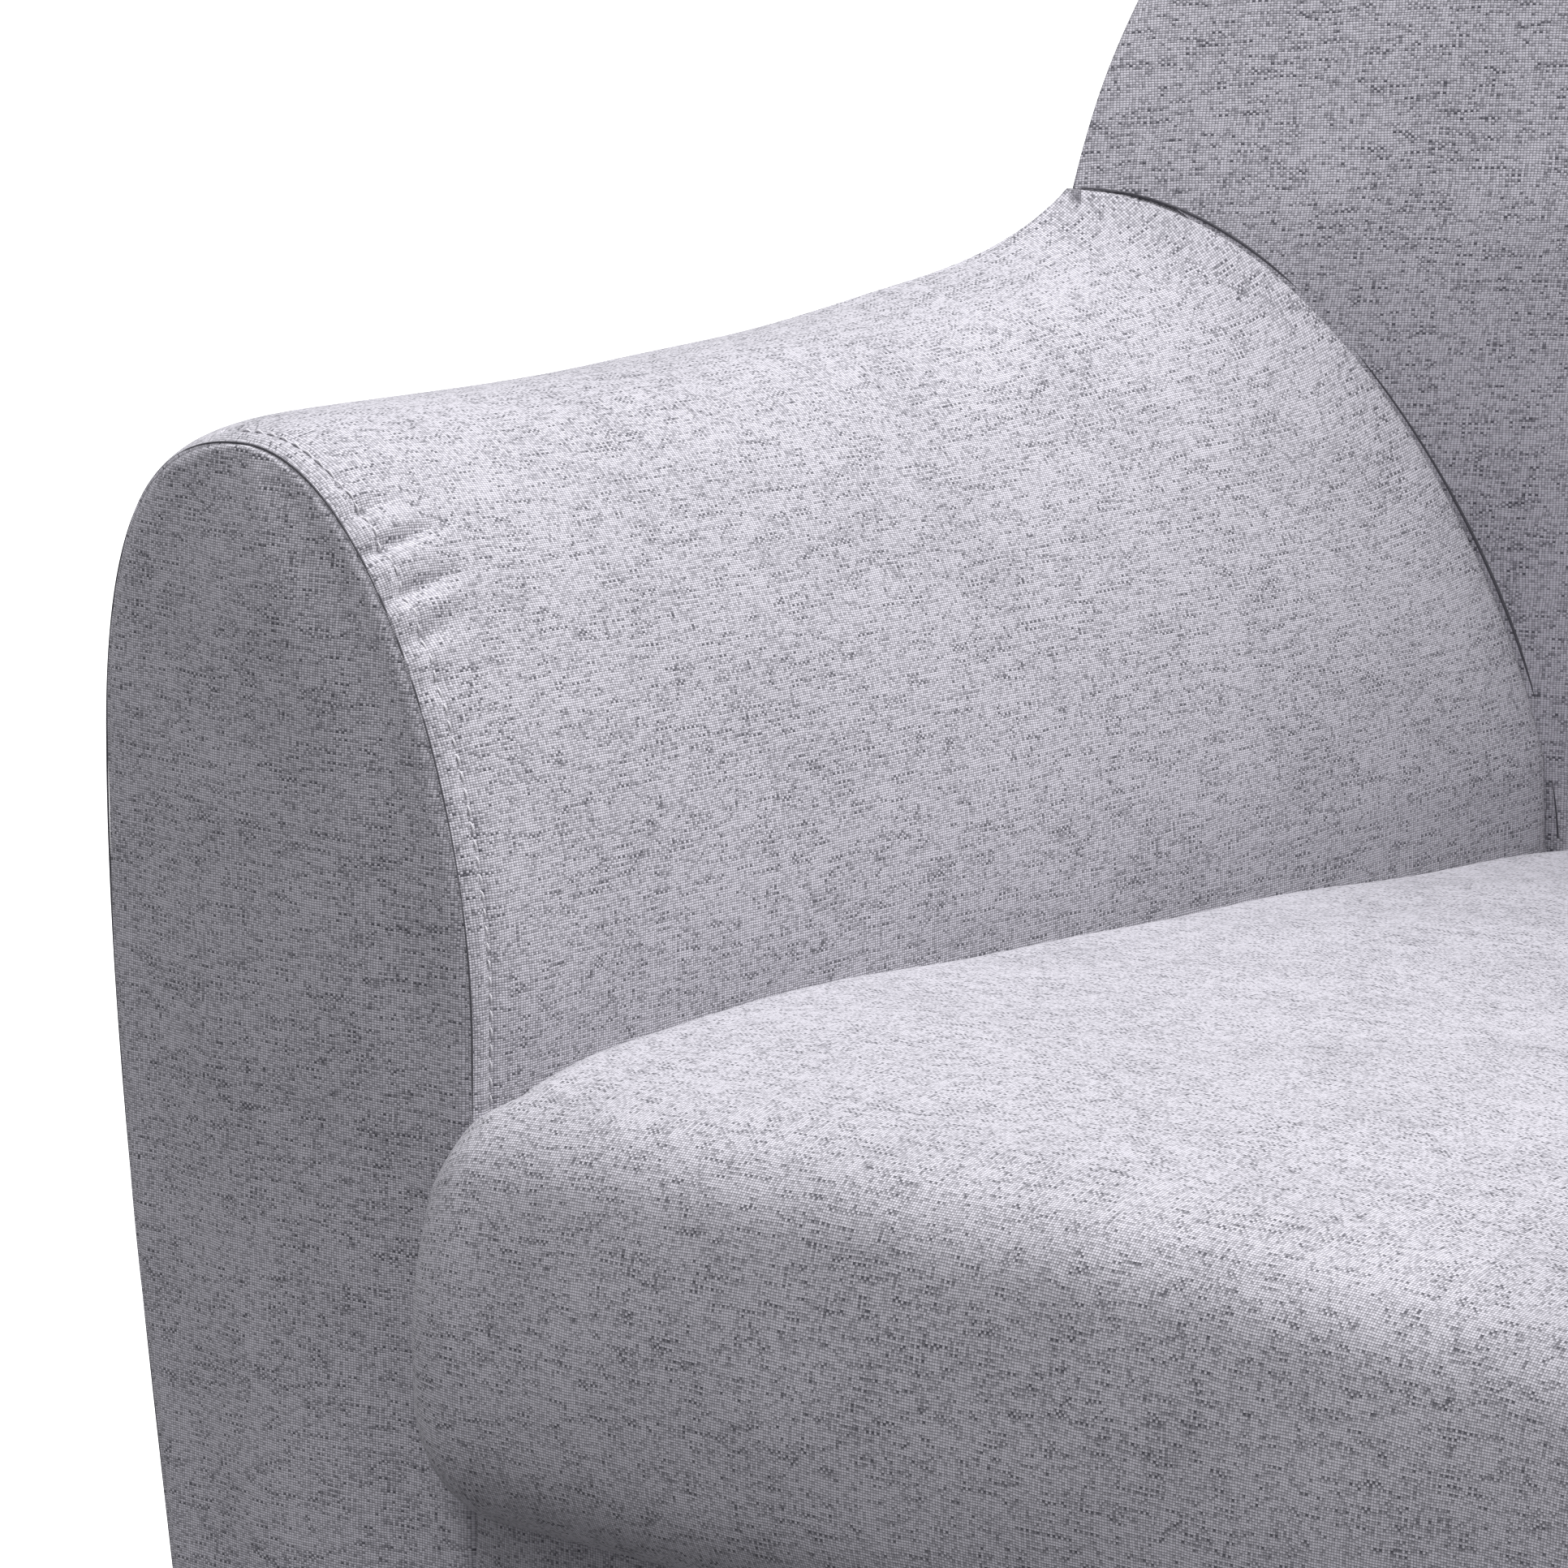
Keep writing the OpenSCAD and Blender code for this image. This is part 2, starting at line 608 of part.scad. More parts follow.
back_foam_t = 30;
module back_pad() {
    color(foam) back_layer(1, low_rows + high_rows - 2, signed * 0.74, cover_t + gap, back_foam_t);
}

// The outside of the back: a flattened arc at each height from side seam to side seam.
outer_power = 2.9;
function outer_edge(z) = z < seam_top_z
    ? let (fade = clamp01((z - body_z) / (seam_top_z - body_z)))
      [half_seat + mix(arm_foot_u, arm_w - 4, sin(100 * fade)) - 29 * smooth((z - seam_top_z + 100) / 100),
      seam_top_y + 40 * (1 - fade) + 3]
    : let (h = (z - seam_top_z) / (back_rise - 4),
        x = max(1, back_half * pow(1 - pow(min(1, h), back_power), 1 / back_power)))
      [x, roll([x, edge_y(z), z])[3] + 6];
function outer_at(z, a, deep) = let (e = outer_edge(z), yo = rear_y(z) - deep)
    [(e[0] - deep) * (cos(a) < 0 ? -1 : 1) * pow(abs(cos(a)), 2 / outer_power),
    e[1] + (yo - e[1]) * pow(max(0, sin(a)), 2 / outer_power), z];

outer_rows = concat([for (k = [0 : 7]) mix(body_z, seam_top_z - 10, k / 7)],
    [for (k = [1 : 12]) turn_z(last_turn * pow(k / 12, 1.15))]);
module back_outer_cover() {
    half = [for (k = [0 : 9]) 0.2 + 74 * pow(k / 9, 2.4)];
    angles = concat(half, [90], [for (k = [9 : -1 : 0]) 180 - half[k]]);
    color(fabric) sheet([for (z = outer_rows) [for (a = angles) outer_at(z, a, 0)]],
        [for (z = outer_rows) [for (a = angles) outer_at(z, a, cover_t)]]);
}

// The top of the back, between the last rows of the inside and the outside cover.
module back_top_cover() {
    z = turn_z(last_turn);
    low = [for (k = [-8 : 8]) back_at(rows[low_rows + high_rows], k / 8 * 0.9)];
    high = [for (k = [8 : -1 : -8]) let (a = 90 + k * 8.6) outer_at(z, a, 0)];
    steps = [0, 0.25, 0.5, 0.75, 1];
    function lift(t) = 4 * sin(180 * t);
    color(fabric) sheet(
        [for (t = steps) [for (j = [0 : 16]) mix(low[j] + [0, 3, 0], high[j] - [0, 1, 0], t)
            + [0, 0, 1.5 + lift(t)]]],
        [for (t = steps) [for (j = [0 : 16]) mix(low[j] + [0, 3, 0], high[j] - [0, 1, 0], t)
            + [0, 0, 0.5 + lift(t) - cover_t + 3]]]);
}

post_slope = 0.13;
post_z0 = rail_z0 + 26;
post_z1 = 872;
function post_y(z) = frame_y1 - 3 + post_slope * (z - post_z0);
module back_post(dir) {
    color(pine) side(dir) translate([post_x, 0, 0]) rotate([90, 0, 90]) linear_extrude(post_w)
        polygon([[post_y(post_z0), post_z0], [post_y(post_z0) + post_d, post_z0],
            [post_y(post_z1) + post_d, post_z1], [post_y(post_z1), post_z1]]);
}

// The rails between the posts bow rearwards round the seat.
rail_bow = 24;
module back_rail(z, high) {
    chord = post_x - gap;
    y = post_y(z + high);
    r = (chord * chord + rail_bow * rail_bow) / (2 * rail_bow);
    reach = asin(chord / r);
    color(pine) translate([0, y + rail_bow - r, z]) rotate([0, 0, 90 - reach])
        rotate_extrude(angle = 2 * reach, $fn = 720) translate([r, 0]) square([18, high]);
}

lower_rail_z = 340;
lumbar_rail_z = 440;
top_rail_z = 815;
module back_webbing() {
    tall = top_rail_z + 40 - lumbar_rail_z;
    lean = atan(post_slope);
    band = 50;
    color(fabric_dark) for (k = [-1.5 : 1 : 1.5]) {
        x = 2 * band * k;
        bow = rail_bow * (1 - pow(x / post_x, 2));
        translate([x - band / 2, post_y(lumbar_rail_z + 50) + bow - 10, lumbar_rail_z])
            rotate([-lean, 0, 0]) cube([band, 2, tall]);
    }
}

rocker(-1);  // rocker_left
rocker(1);  // rocker_right
leg(-1, leg_front);  // leg_front_left
leg(1, leg_front);  // leg_front_right
leg(-1, leg_rear);  // leg_rear_left
leg(1, leg_rear);  // leg_rear_right
stretcher(leg_front);  // stretcher_front
stretcher(leg_rear);  // stretcher_rear
leg_plates();
leg_plate_screws();
hanger_bolts();
rocker_bolts();
rail_across(frame_y0, frame_x);  // seat_rail_front
rail_across(frame_y1, post_x - gap);  // seat_rail_rear
rail_along(-1);  // seat_rail_left
rail_along(1);  // seat_rail_right
corner_blocks();
seat_springs();
spring_clips();
spring_pad();
seat_foam();
seat_cushion();
front_rail_cover();
dust_cover();
arm_front_board(-1);  // arm_front_board_left
arm_front_board(1);  // arm_front_board_right
arm_top_rail(-1);  // arm_top_rail_left
arm_top_rail(1);  // arm_top_rail_right
arm_pad(-1);  // arm_pad_left
arm_pad(1);  // arm_pad_right
arm_front_panel(-1);  // arm_front_panel_left
arm_front_panel(1);  // arm_front_panel_right
arm_inner_cover(-1);  // arm_inner_cover_left
arm_inner_cover(1);  // arm_inner_cover_right
arm_outer_cover(-1);  // arm_outer_cover_left
arm_outer_cover(1);  // arm_outer_cover_right
back_post(-1);  // back_post_left
back_post(1);  // back_post_right
back_rail(top_rail_z, 50);  // back_top_rail
back_rail(lumbar_rail_z, 50);  // back_lumbar_rail
back_rail(lower_rail_z, 40);  // back_lower_rail
back_webbing();
back_pad();
back_inner_cover();
back_top_cover();
back_outer_cover();
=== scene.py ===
import json
import math
import bmesh
import bpy
import numpy as np
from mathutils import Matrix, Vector


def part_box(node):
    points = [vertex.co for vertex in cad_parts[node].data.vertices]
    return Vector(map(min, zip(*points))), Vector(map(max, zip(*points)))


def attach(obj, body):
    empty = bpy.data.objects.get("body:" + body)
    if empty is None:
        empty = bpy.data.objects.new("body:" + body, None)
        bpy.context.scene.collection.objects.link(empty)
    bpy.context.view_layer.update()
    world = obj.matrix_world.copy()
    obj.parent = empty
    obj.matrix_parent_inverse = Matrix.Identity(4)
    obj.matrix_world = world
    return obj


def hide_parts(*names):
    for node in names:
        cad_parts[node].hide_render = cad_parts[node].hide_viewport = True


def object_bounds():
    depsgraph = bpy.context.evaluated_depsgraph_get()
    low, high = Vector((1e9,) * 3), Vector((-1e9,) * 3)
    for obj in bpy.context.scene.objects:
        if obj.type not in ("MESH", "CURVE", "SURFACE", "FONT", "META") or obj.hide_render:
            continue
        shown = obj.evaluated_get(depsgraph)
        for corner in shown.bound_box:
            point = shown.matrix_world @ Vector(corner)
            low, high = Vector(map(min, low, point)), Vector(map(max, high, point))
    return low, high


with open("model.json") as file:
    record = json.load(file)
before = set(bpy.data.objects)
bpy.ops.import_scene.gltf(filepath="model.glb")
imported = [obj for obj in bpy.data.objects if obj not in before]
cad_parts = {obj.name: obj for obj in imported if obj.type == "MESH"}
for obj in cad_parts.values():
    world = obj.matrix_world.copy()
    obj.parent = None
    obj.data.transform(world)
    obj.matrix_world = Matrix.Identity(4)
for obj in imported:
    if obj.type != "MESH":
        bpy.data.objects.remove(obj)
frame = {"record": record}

CAD_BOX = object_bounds()

# ---------------------------------------------------------------- driving sizes, all from the frame

PANEL_LO, PANEL_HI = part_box("arm_front_panel_right")
SEAT_LO, SEAT_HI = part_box("seat_cushion")

HALF_SEAT = PANEL_LO[0]
ARM_W = PANEL_HI[0] - PANEL_LO[0]
ARM_H = PANEL_HI[2]
BODY_Z = PANEL_LO[2]
FRONT_Y = PANEL_LO[1]
SEAM_Y = FRONT_Y + 0.005
MM = 0.001

# distance between the threads of the weave, across and up the cloth
THREAD_ACROSS, THREAD_UP = 1.0 * MM, 0.75 * MM
INNER_Z = ARM_H - 168 * MM
SHOULDER_Z = ARM_H - 98 * MM
SEAM_SEAT_Y = 115 * MM
SEAM_TOP_Z = ARM_H + 22 * MM
BACK_TOP = CAD_BOX[1][2]
BACK_RISE = BACK_TOP - SEAM_TOP_Z
BACK_HALF = HALF_SEAT + 115 * MM


def bez(points, t):
    """A cubic Bezier curve through arrays of t."""
    t = np.asarray(t, float)[..., None]
    a, b, c, d = (np.asarray(p, float) for p in points)
    return a * (1 - t) ** 3 + 3 * b * (1 - t) ** 2 * t + 3 * c * (1 - t) * t ** 2 + d * t ** 3


def mix(a, b, t):
    return a * (1 - t) + b * t


def smooth(t):
    t = np.clip(t, 0, 1)
    return t * t * (3 - 2 * t)


def bump(x, centre, width):
    return np.exp(-((x - centre) / width) ** 2)


# ---------------------------------------------------------------- shape of the arms and the back

SECTION = (
    [(0, INNER_Z), (0, INNER_Z + 0.075), (0.27 * ARM_W, ARM_H), (0.6 * ARM_W, ARM_H)],
    [(0.6 * ARM_W, ARM_H), (0.85 * ARM_W, ARM_H), (ARM_W, ARM_H - 0.025), (ARM_W, SHOULDER_Z)],
    [(ARM_W, SHOULDER_Z), (1.005 * ARM_W, SHOULDER_Z - 0.095), (0.88 * ARM_W, BODY_Z + 0.098),
     (0.79 * ARM_W, BODY_Z)],
)
SEAM_CURVE = [
    (HALF_SEAT + 0.001, SEAM_SEAT_Y - 0.002, INNER_Z - 0.028),
    (HALF_SEAT + 0.001, SEAM_SEAT_Y - 0.008, INNER_Z + 0.049),
    (HALF_SEAT + 0.052, SEAM_SEAT_Y - 0.049, SEAM_TOP_Z - 0.001), (BACK_HALF, 0.0, SEAM_TOP_Z),
]


def section(s):
    """Arm section: distance outward from the inner face, and height; s runs -1..3 round the arm."""
    s = np.asarray(s, float)[..., None]
    flat = np.concatenate([0 * s, mix(INNER_Z, BODY_Z, -s)], -1)
    arcs = [bez(SECTION[k], np.clip(s[..., 0] - k, 0, 1)) for k in range(3)]
    return np.where(s < 0, flat, np.where(s < 1, arcs[0], np.where(s < 2, arcs[1], arcs[2])))


def section_normal(s):
    d = section(np.minimum(3, s + 0.01)) - section(np.maximum(-1, s - 0.01))
    n = np.stack([-d[..., 1], d[..., 0]], -1)
    return n / np.linalg.norm(n, axis=-1, keepdims=True)


OUTER_S = 1.25
SEAM_START = 0.12
BACK_POWER = 2.9
HOLLOW = 2.2


def turn_z(turn):
    return SEAM_TOP_Z + BACK_RISE * np.sin(turn) ** (2 / BACK_POWER)


def turn_x(turn):
    return BACK_HALF * np.cos(turn) ** (2 / BACK_POWER)


def edge_y(z):
    d = z - SEAM_TOP_Z
    return 0.35 * d + 1.25 * d * d + 0.026 * (np.maximum(0, d) / BACK_RISE) ** 6


def centre_y(z):
    return SEAM_SEAT_Y + 0.037 + 0.215 * (z - INNER_Z)


def hollow_depth(z):
    """How far the edges of the inside back stand forward of its middle, below the arm tops."""
    z0, z1 = INNER_Z - 0.028, SEAM_TOP_Z
    t = np.maximum(-0.3, (z - z0) / (z1 - z0))
    d0 = (centre_y(z0) - SEAM_SEAT_Y + 0.003) / (HALF_SEAT / BACK_HALF) ** HOLLOW
    d1 = centre_y(z1)
    rise0, rise1 = 0.6 * (z1 - z0), (0.215 - 0.35) * (z1 - z0)
    return ((2 * t ** 3 - 3 * t * t + 1) * d0 + (t ** 3 - 2 * t * t + t) * rise0
            + (3 * t * t - 2 * t ** 3) * d1 + (t ** 3 - t * t) * rise1)


def hollow(x, z):
    """The inside back below the arm tops, as its y at x and z."""
    return centre_y(z) - hollow_depth(z) * (np.abs(x) / BACK_HALF) ** HOLLOW


def seam(t):
    """The seam between arm and back: a curve that lies in the inside back."""
    p = bez(SEAM_CURVE, np.clip(t, 0, 1))
    p[..., 1] = hollow(p[..., 0], p[..., 2])
    return p


def arm_rear(s):
    """Where the arm's line s ends: on the seam with the back, or at the side seam."""
    low = seam(np.full(s.shape, SEAM_START))
    low[..., 2] = mix(low[..., 2], BODY_Z, -np.minimum(s, 0))
    on_seam = seam(mix(SEAM_START, 1.0, s / OUTER_S))
    fade = np.clip((3 - s) / (3 - OUTER_S), 0, 1)
    side = side_seam(s, fade) + (seam(1.0) - side_seam(OUTER_S, 1.0)) * fade[..., None] ** 4
    s = s[..., None]
    return np.where(s < 0, low, np.where(s < OUTER_S, on_seam, side))


def side_seam(s, fade):
    """The upright seam between the outsides of an arm and of the back."""
    p = section(s)
    x = HALF_SEAT + p[..., 0] - 0.005 * np.sin(math.pi * fade)
    return np.stack([x, 0.040 * (1 - fade) + 0 * x, p[..., 1] + 0.025 * fade ** 3], -1)


def sag(s, v):
    """The arm's top sinks a little on its way to the back, before it sweeps up into it."""
    return 0.014 * v * (1 - v ** 12) * smooth(s / 0.6) * smooth(2.6 - s)


def arm_point(s, v, proud, y0):
    """A point of the arm's surface, raised by "proud" across the section."""
    q = section(s)
    p = q + section_normal(s) * np.asarray(proud)[..., None]
    r = arm_rear(s)
    g = v ** 3
    x = HALF_SEAT + p[..., 0] + (r[..., 0] - HALF_SEAT - q[..., 0]) * g
    z = p[..., 1] + (r[..., 2] - q[..., 1]) * g - sag(s, v)
    return np.stack([x, mix(y0, r[..., 1], v), z], -1)


def rear_y(z):
    h = np.clip((z - BACK_TOP + 0.075) / 0.075, 0, 1)
    return 0.265 + 0.155 * (z - BODY_Z) - 0.062 * (1 - np.sqrt(1 - 0.97 * h * h))


# ---------------------------------------------------------------- mesh helpers

WELD = 0.01 * MM


def arc_lengths(points, axis):
    """Running length of a grid of points along one axis, starting at its middle."""
    step = np.linalg.norm(np.diff(points, axis=axis), axis=-1)
    run = np.cumsum(step, axis=axis)
    pad = [(0, 0), (0, 0)]
    pad[axis] = (1, 0)
    return np.pad(run, pad)


def cloth_uv(points, anchor):
    """Thread coordinates in metres: u along the rows from the anchor column, v across them."""
    u = arc_lengths(points, 1)
    u = u - u[:, anchor:anchor + 1]
    v = arc_lengths(points, 0).mean(axis=1, keepdims=True) + 0 * u
    return np.stack([u, v], -1)


def grid_object(name, points, flip=False, uv=None, anchor=0, weld=False):
    """A smooth quad mesh from a grid of points; "weld" joins the points that coincide."""
    rows, cols = points.shape[:2]
    uv = cloth_uv(points, anchor) if uv is None else uv
    i, j = np.meshgrid(np.arange(rows - 1), np.arange(cols - 1), indexing="ij")
    a = i * cols + j
    quads = np.stack([a, a + 1, a + cols + 1, a + cols], -1)
    quads = quads.reshape(-1, 4)
    if flip:
        quads = quads[:, ::-1]
    mesh = bpy.data.meshes.new(name)
    mesh.from_pydata(points.reshape(-1, 3).tolist(), [], quads.tolist())
    layer = mesh.uv_layers.new(name="UVMap")
    loops = np.empty(len(mesh.loops), np.int64)
    mesh.loops.foreach_get("vertex_index", loops)
    layer.data.foreach_set("uv", uv.reshape(-1, 2)[loops].astype(np.float32).ravel())
    if weld:
        bm = bmesh.new()
        bm.from_mesh(mesh)
        bmesh.ops.remove_doubles(bm, verts=bm.verts, dist=WELD)
        bm.to_mesh(mesh)
        bm.free()
    mesh.polygons.foreach_set("use_smooth", np.ones(len(mesh.polygons), bool))
    obj = bpy.data.objects.new(name, mesh)
    bpy.context.scene.collection.objects.link(obj)
    return obj


def settle(points, size, along=None):
    """Moves a surface a little in and out, as cloth over soft padding never lies quite even."""
    if along is None:
        du, dv = np.gradient(points, axis=1), np.gradient(points, axis=0)
        n = np.cross(du, dv)
        n = n / np.maximum(1e-12, np.linalg.norm(n, axis=-1, keepdims=True))
    else:
        n = np.array(along)
    x, y, z = (points[..., k] for k in range(3))
    wave = np.sin(31 * x + 17 * y + 2) * np.sin(23 * z - 19 * y + 1)
    wave = wave + 0.6 * np.sin(67 * x - 41 * z) * np.sin(59 * y + 37 * z + 3)
    return points + n * (size * wave)[..., None]


def mirrored(points, dir):
    return points * np.array([dir, 1, 1])


def side_name(dir):
    return "left" if dir < 0 else "right"


def finish_piece(obj, material, nodes):
    obj.data.materials.append(material)
    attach(obj, "root")
    if nodes:
        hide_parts(*nodes)
    return obj


def tuck(points, axis, end, depth, inward):
    """Adds rows beyond one edge of a grid that turn into the padding, as a sewn edge does."""
    take = (lambda k: points[k]) if axis == 0 else (lambda k: points[:, k])
    first = take(0 if end == 0 else -1)
    steps = [first + inward * depth * t for t in (0.45, 1.0)]
    rows = [np.expand_dims(r, axis) for r in (steps[::-1] if end == 0 else steps)]
    return np.concatenate(rows + [points] if end == 0 else [points] + rows, axis)


# ---------------------------------------------------------------- node helpers

def new_material(name):
    mat = bpy.data.materials.new(name)
    mat.use_nodes = True
    tree = mat.node_tree
    return mat, tree, tree.nodes["Principled BSDF"]


class Nodes:
    """Short calls for the nodes that the materials are made of."""

    def __init__(self, tree):
        self.tree = tree

    def add(self, kind, **props):
        node = self.tree.nodes.new(kind)
        for key, value in props.items():
            setattr(node, key, value)
        return node

    def put(self, socket, value):
        if isinstance(value, bpy.types.NodeSocket):
            self.tree.links.new(value, socket)
        else:
            socket.default_value = value

    def math(self, operation, a, b=0.0, clamp=False):
        node = self.add("ShaderNodeMath", operation=operation, use_clamp=clamp)
        self.put(node.inputs[0], a)
        self.put(node.inputs[1], b)
        return node.outputs[0]

    def vector(self, x, y, z=0.0):
        node = self.add("ShaderNodeCombineXYZ")
        for socket, value in zip(node.inputs, (x, y, z)):
            self.put(socket, value)
        return node.outputs[0]

    def noise(self, vector, scale, detail=2.0, rough=0.5, distort=0.0):
        node = self.add("ShaderNodeTexNoise")
        self.put(node.inputs["Vector"], vector)
        node.inputs["Scale"].default_value = scale
        node.inputs["Detail"].default_value = detail
        node.inputs["Roughness"].default_value = rough
        node.inputs["Distortion"].default_value = distort
        return node.outputs["Fac"]

    def ramp(self, fac, stops):
        node = self.add("ShaderNodeMapRange")
        self.put(node.inputs["Value"], fac)
        node.inputs["From Min"].default_value = stops[0]
        node.inputs["From Max"].default_value = stops[1]
        node.inputs["To Min"].default_value = stops[2]
        node.inputs["To Max"].default_value = stops[3]
        return node.outputs["Result"]

    def blend(self, fac, a, b):
        node = self.add("ShaderNodeMix", data_type="RGBA")
        self.put(node.inputs["Factor"], fac)
        self.put(node.inputs["A"], a)
        self.put(node.inputs["B"], b)
        return node.outputs["Result"]

    def blend_value(self, fac, a, b):
        node = self.add("ShaderNodeMix", data_type="FLOAT")
        self.put(node.inputs["Factor"], fac)
        self.put(node.inputs["A"], a)
        self.put(node.inputs["B"], b)
        return node.outputs["Result"]


def fabric_material(name, light, dark):
    """Plain weave of melange yarn: light threads over gaps darkened with painted shade, with darker slubs
    along the threads.
    """
    mat, tree, bsdf = new_material(name)
    n = Nodes(tree)
    uv = n.add("ShaderNodeUVMap", uv_map="UVMap").outputs["UV"]
    waver = n.noise(uv, 55.0, 2.0, 0.5)
    split = n.add("ShaderNodeSeparateXYZ")
    n.put(split.inputs[0], uv)
    u = n.math("ADD", n.math("DIVIDE", split.outputs[0], THREAD_ACROSS), n.ramp(waver, (0.3, 0.7, -0.4, 0.4)))
    v = n.math("ADD", n.math("DIVIDE", split.outputs[1], THREAD_UP), n.ramp(waver, (0.3, 0.7, 0.4, -0.4)))
    iu, iv = n.math("FLOOR", u), n.math("FLOOR", v)
    fu, fv = n.math("FRACT", u), n.math("FRACT", v)
    over = n.math("PINGPONG", n.math("ADD", iu, iv), 1.0)
    su = n.math("SINE", n.math("MULTIPLY", fu, math.pi))
    sv = n.math("SINE", n.math("MULTIPLY", fv, math.pi))
    weft_h = n.math("MULTIPLY", n.math("POWER", sv, 0.8), n.ramp(su, (0, 1, 0.35, 1)))
    warp_h = n.math("MULTIPLY", n.math("POWER", su, 0.8), n.ramp(sv, (0, 1, 0.35, 1)))
    height = n.blend_value(over, weft_h, warp_h)

    along_weft = n.vector(n.math("MULTIPLY", u, 0.08), n.math("MULTIPLY", iv, 3.7))
    weft_shade = n.noise(along_weft, 1.0, 4.0, 0.72)
    along_warp = n.vector(n.math("MULTIPLY", iu, 3.3), n.math("MULTIPLY", v, 0.12), 9.0)
    warp_shade = n.noise(along_warp, 1.0, 3.0, 0.7)
    weft_dark = n.ramp(weft_shade, (0.48, 0.65, 0.0, 1.0))
    warp_dark = n.ramp(warp_shade, (0.51, 0.70, 0.0, 0.7))
    yarn = n.blend_value(over, weft_dark, warp_dark)
    fleck = n.add("ShaderNodeTexWhiteNoise", noise_dimensions="2D")
    n.put(fleck.inputs["Vector"], n.vector(iu, iv))
    yarn = n.math("ADD", yarn, n.ramp(fleck.outputs["Value"], (0, 1, -0.30, 0.40)), clamp=True)
    cloud = n.noise(uv, 22.0, 4.0, 0.65)
    yarn = n.math("ADD", yarn, n.ramp(cloud, (0.3, 0.7, -0.10, 0.10)), clamp=True)
    # painted shade: the recesses between the threads are darkened by their depth, more so where the yarn is
    # dark
    depth = n.ramp(height, (0.60, 0.0, 0.0, 1.0))
    painted_gap_shade = n.math("MULTIPLY", depth, n.ramp(yarn, (0, 1, 0.75, 1.0)), clamp=True)
    colour = n.blend(yarn, (*light, 1), (*dark, 1))
    colour = n.blend(painted_gap_shade, colour, (*[c * 0.55 for c in dark], 1))
    n.put(bsdf.inputs["Base Color"], colour)
    n.put(bsdf.inputs["Roughness"], n.ramp(yarn, (0, 1, 0.82, 0.95)))
    bsdf.inputs["Sheen Weight"].default_value = 0.22
    bsdf.inputs["Sheen Roughness"].default_value = 0.45
    bsdf.inputs["Specular IOR Level"].default_value = 0.2
    fuzz = n.math("ADD", height, n.math("MULTIPLY", n.noise(n.vector(u, v), 2.3, 2.0, 0.6), 0.5))
    relief = n.add("ShaderNodeBump")
    relief.inputs["Strength"].default_value = 0.6
    relief.inputs["Distance"].default_value = 0.4 * THREAD_UP
    n.put(relief.inputs["Height"], fuzz)
    n.put(bsdf.inputs["Normal"], relief.outputs["Normal"])
    return mat


def wood_material(name, axis, light, dark, gloss, ring_scale=60.0):
    """Straight grain along one axis: long streaks, pores and a slow change of tone."""
    mat, tree, bsdf = new_material(name)
    n = Nodes(tree)
    place = n.add("ShaderNodeTexCoord").outputs["Object"]
    stretch = n.add("ShaderNodeMapping")
    stretch.inputs["Scale"].default_value = [0.06 if k == axis else 1.0 for k in range(3)]
    n.put(stretch.inputs["Vector"], place)
    grain = n.noise(stretch.outputs[0], ring_scale, 6.0, 0.62, 0.8)
    fine = n.noise(stretch.outputs[0], ring_scale * 9, 3.0, 0.6)
    slow = n.noise(place, 6.0, 2.0, 0.5)
    pores = n.ramp(n.noise(stretch.outputs[0], ring_scale * 22, 2.0, 0.5), (0.62, 0.70, 0.0, 1.0))
    tone = n.ramp(grain, (0.32, 0.68, 0.0, 0.75))
    tone = n.math("ADD", tone, n.ramp(fine, (0.3, 0.7, -0.12, 0.14)), clamp=True)
    tone = n.math("ADD", tone, n.ramp(slow, (0.3, 0.7, -0.12, 0.16)), clamp=True)
    colour = n.blend(tone, (*light, 1), (*dark, 1))
    colour = n.blend(n.math("MULTIPLY", pores, 0.45), colour, (*[c * 0.45 for c in dark], 1))
    n.put(bsdf.inputs["Base Color"], colour)
    n.put(bsdf.inputs["Roughness"], n.ramp(fine, (0.3, 0.7, gloss, gloss + 0.14)))
    bsdf.inputs["Coat Weight"].default_value = 0.12 if gloss < 0.5 else 0.0
    relief = n.add("ShaderNodeBump")
    relief.inputs["Strength"].default_value = 0.16
    relief.inputs["Distance"].default_value = 0.4 * MM
    n.put(relief.inputs["Height"], n.math("SUBTRACT", fine, pores))
    n.put(bsdf.inputs["Normal"], relief.outputs["Normal"])
    return mat


def metal_material(name, colour, rough):
    """Zinc-plated or drawn steel: fine scratches, blotchy roughness and a little dirt."""
    mat, tree, bsdf = new_material(name)
    n = Nodes(tree)
    place = n.add("ShaderNodeTexCoord").outputs["Object"]
    scratch = n.noise(place, 900.0, 4.0, 0.7, 1.2)
    blotch = n.noise(place, 70.0, 3.0, 0.6)
    shade = n.ramp(scratch, (0.3, 0.7, 0.0, 0.35))
    shade = n.math("ADD", shade, n.ramp(blotch, (0.35, 0.7, 0.0, 0.5)), clamp=True)
    n.put(bsdf.inputs["Base Color"], n.blend(shade, (*colour, 1), (*[c * 0.6 for c in colour], 1)))
    n.put(bsdf.inputs["Roughness"], n.ramp(blotch, (0.3, 0.7, rough, rough + 0.2)))
    bsdf.inputs["Metallic"].default_value = 1.0
    relief = n.add("ShaderNodeBump")
    relief.inputs["Strength"].default_value = 0.12
    relief.inputs["Distance"].default_value = 0.1 * MM
    n.put(relief.inputs["Height"], scratch)
    n.put(bsdf.inputs["Normal"], relief.outputs["Normal"])
    return mat


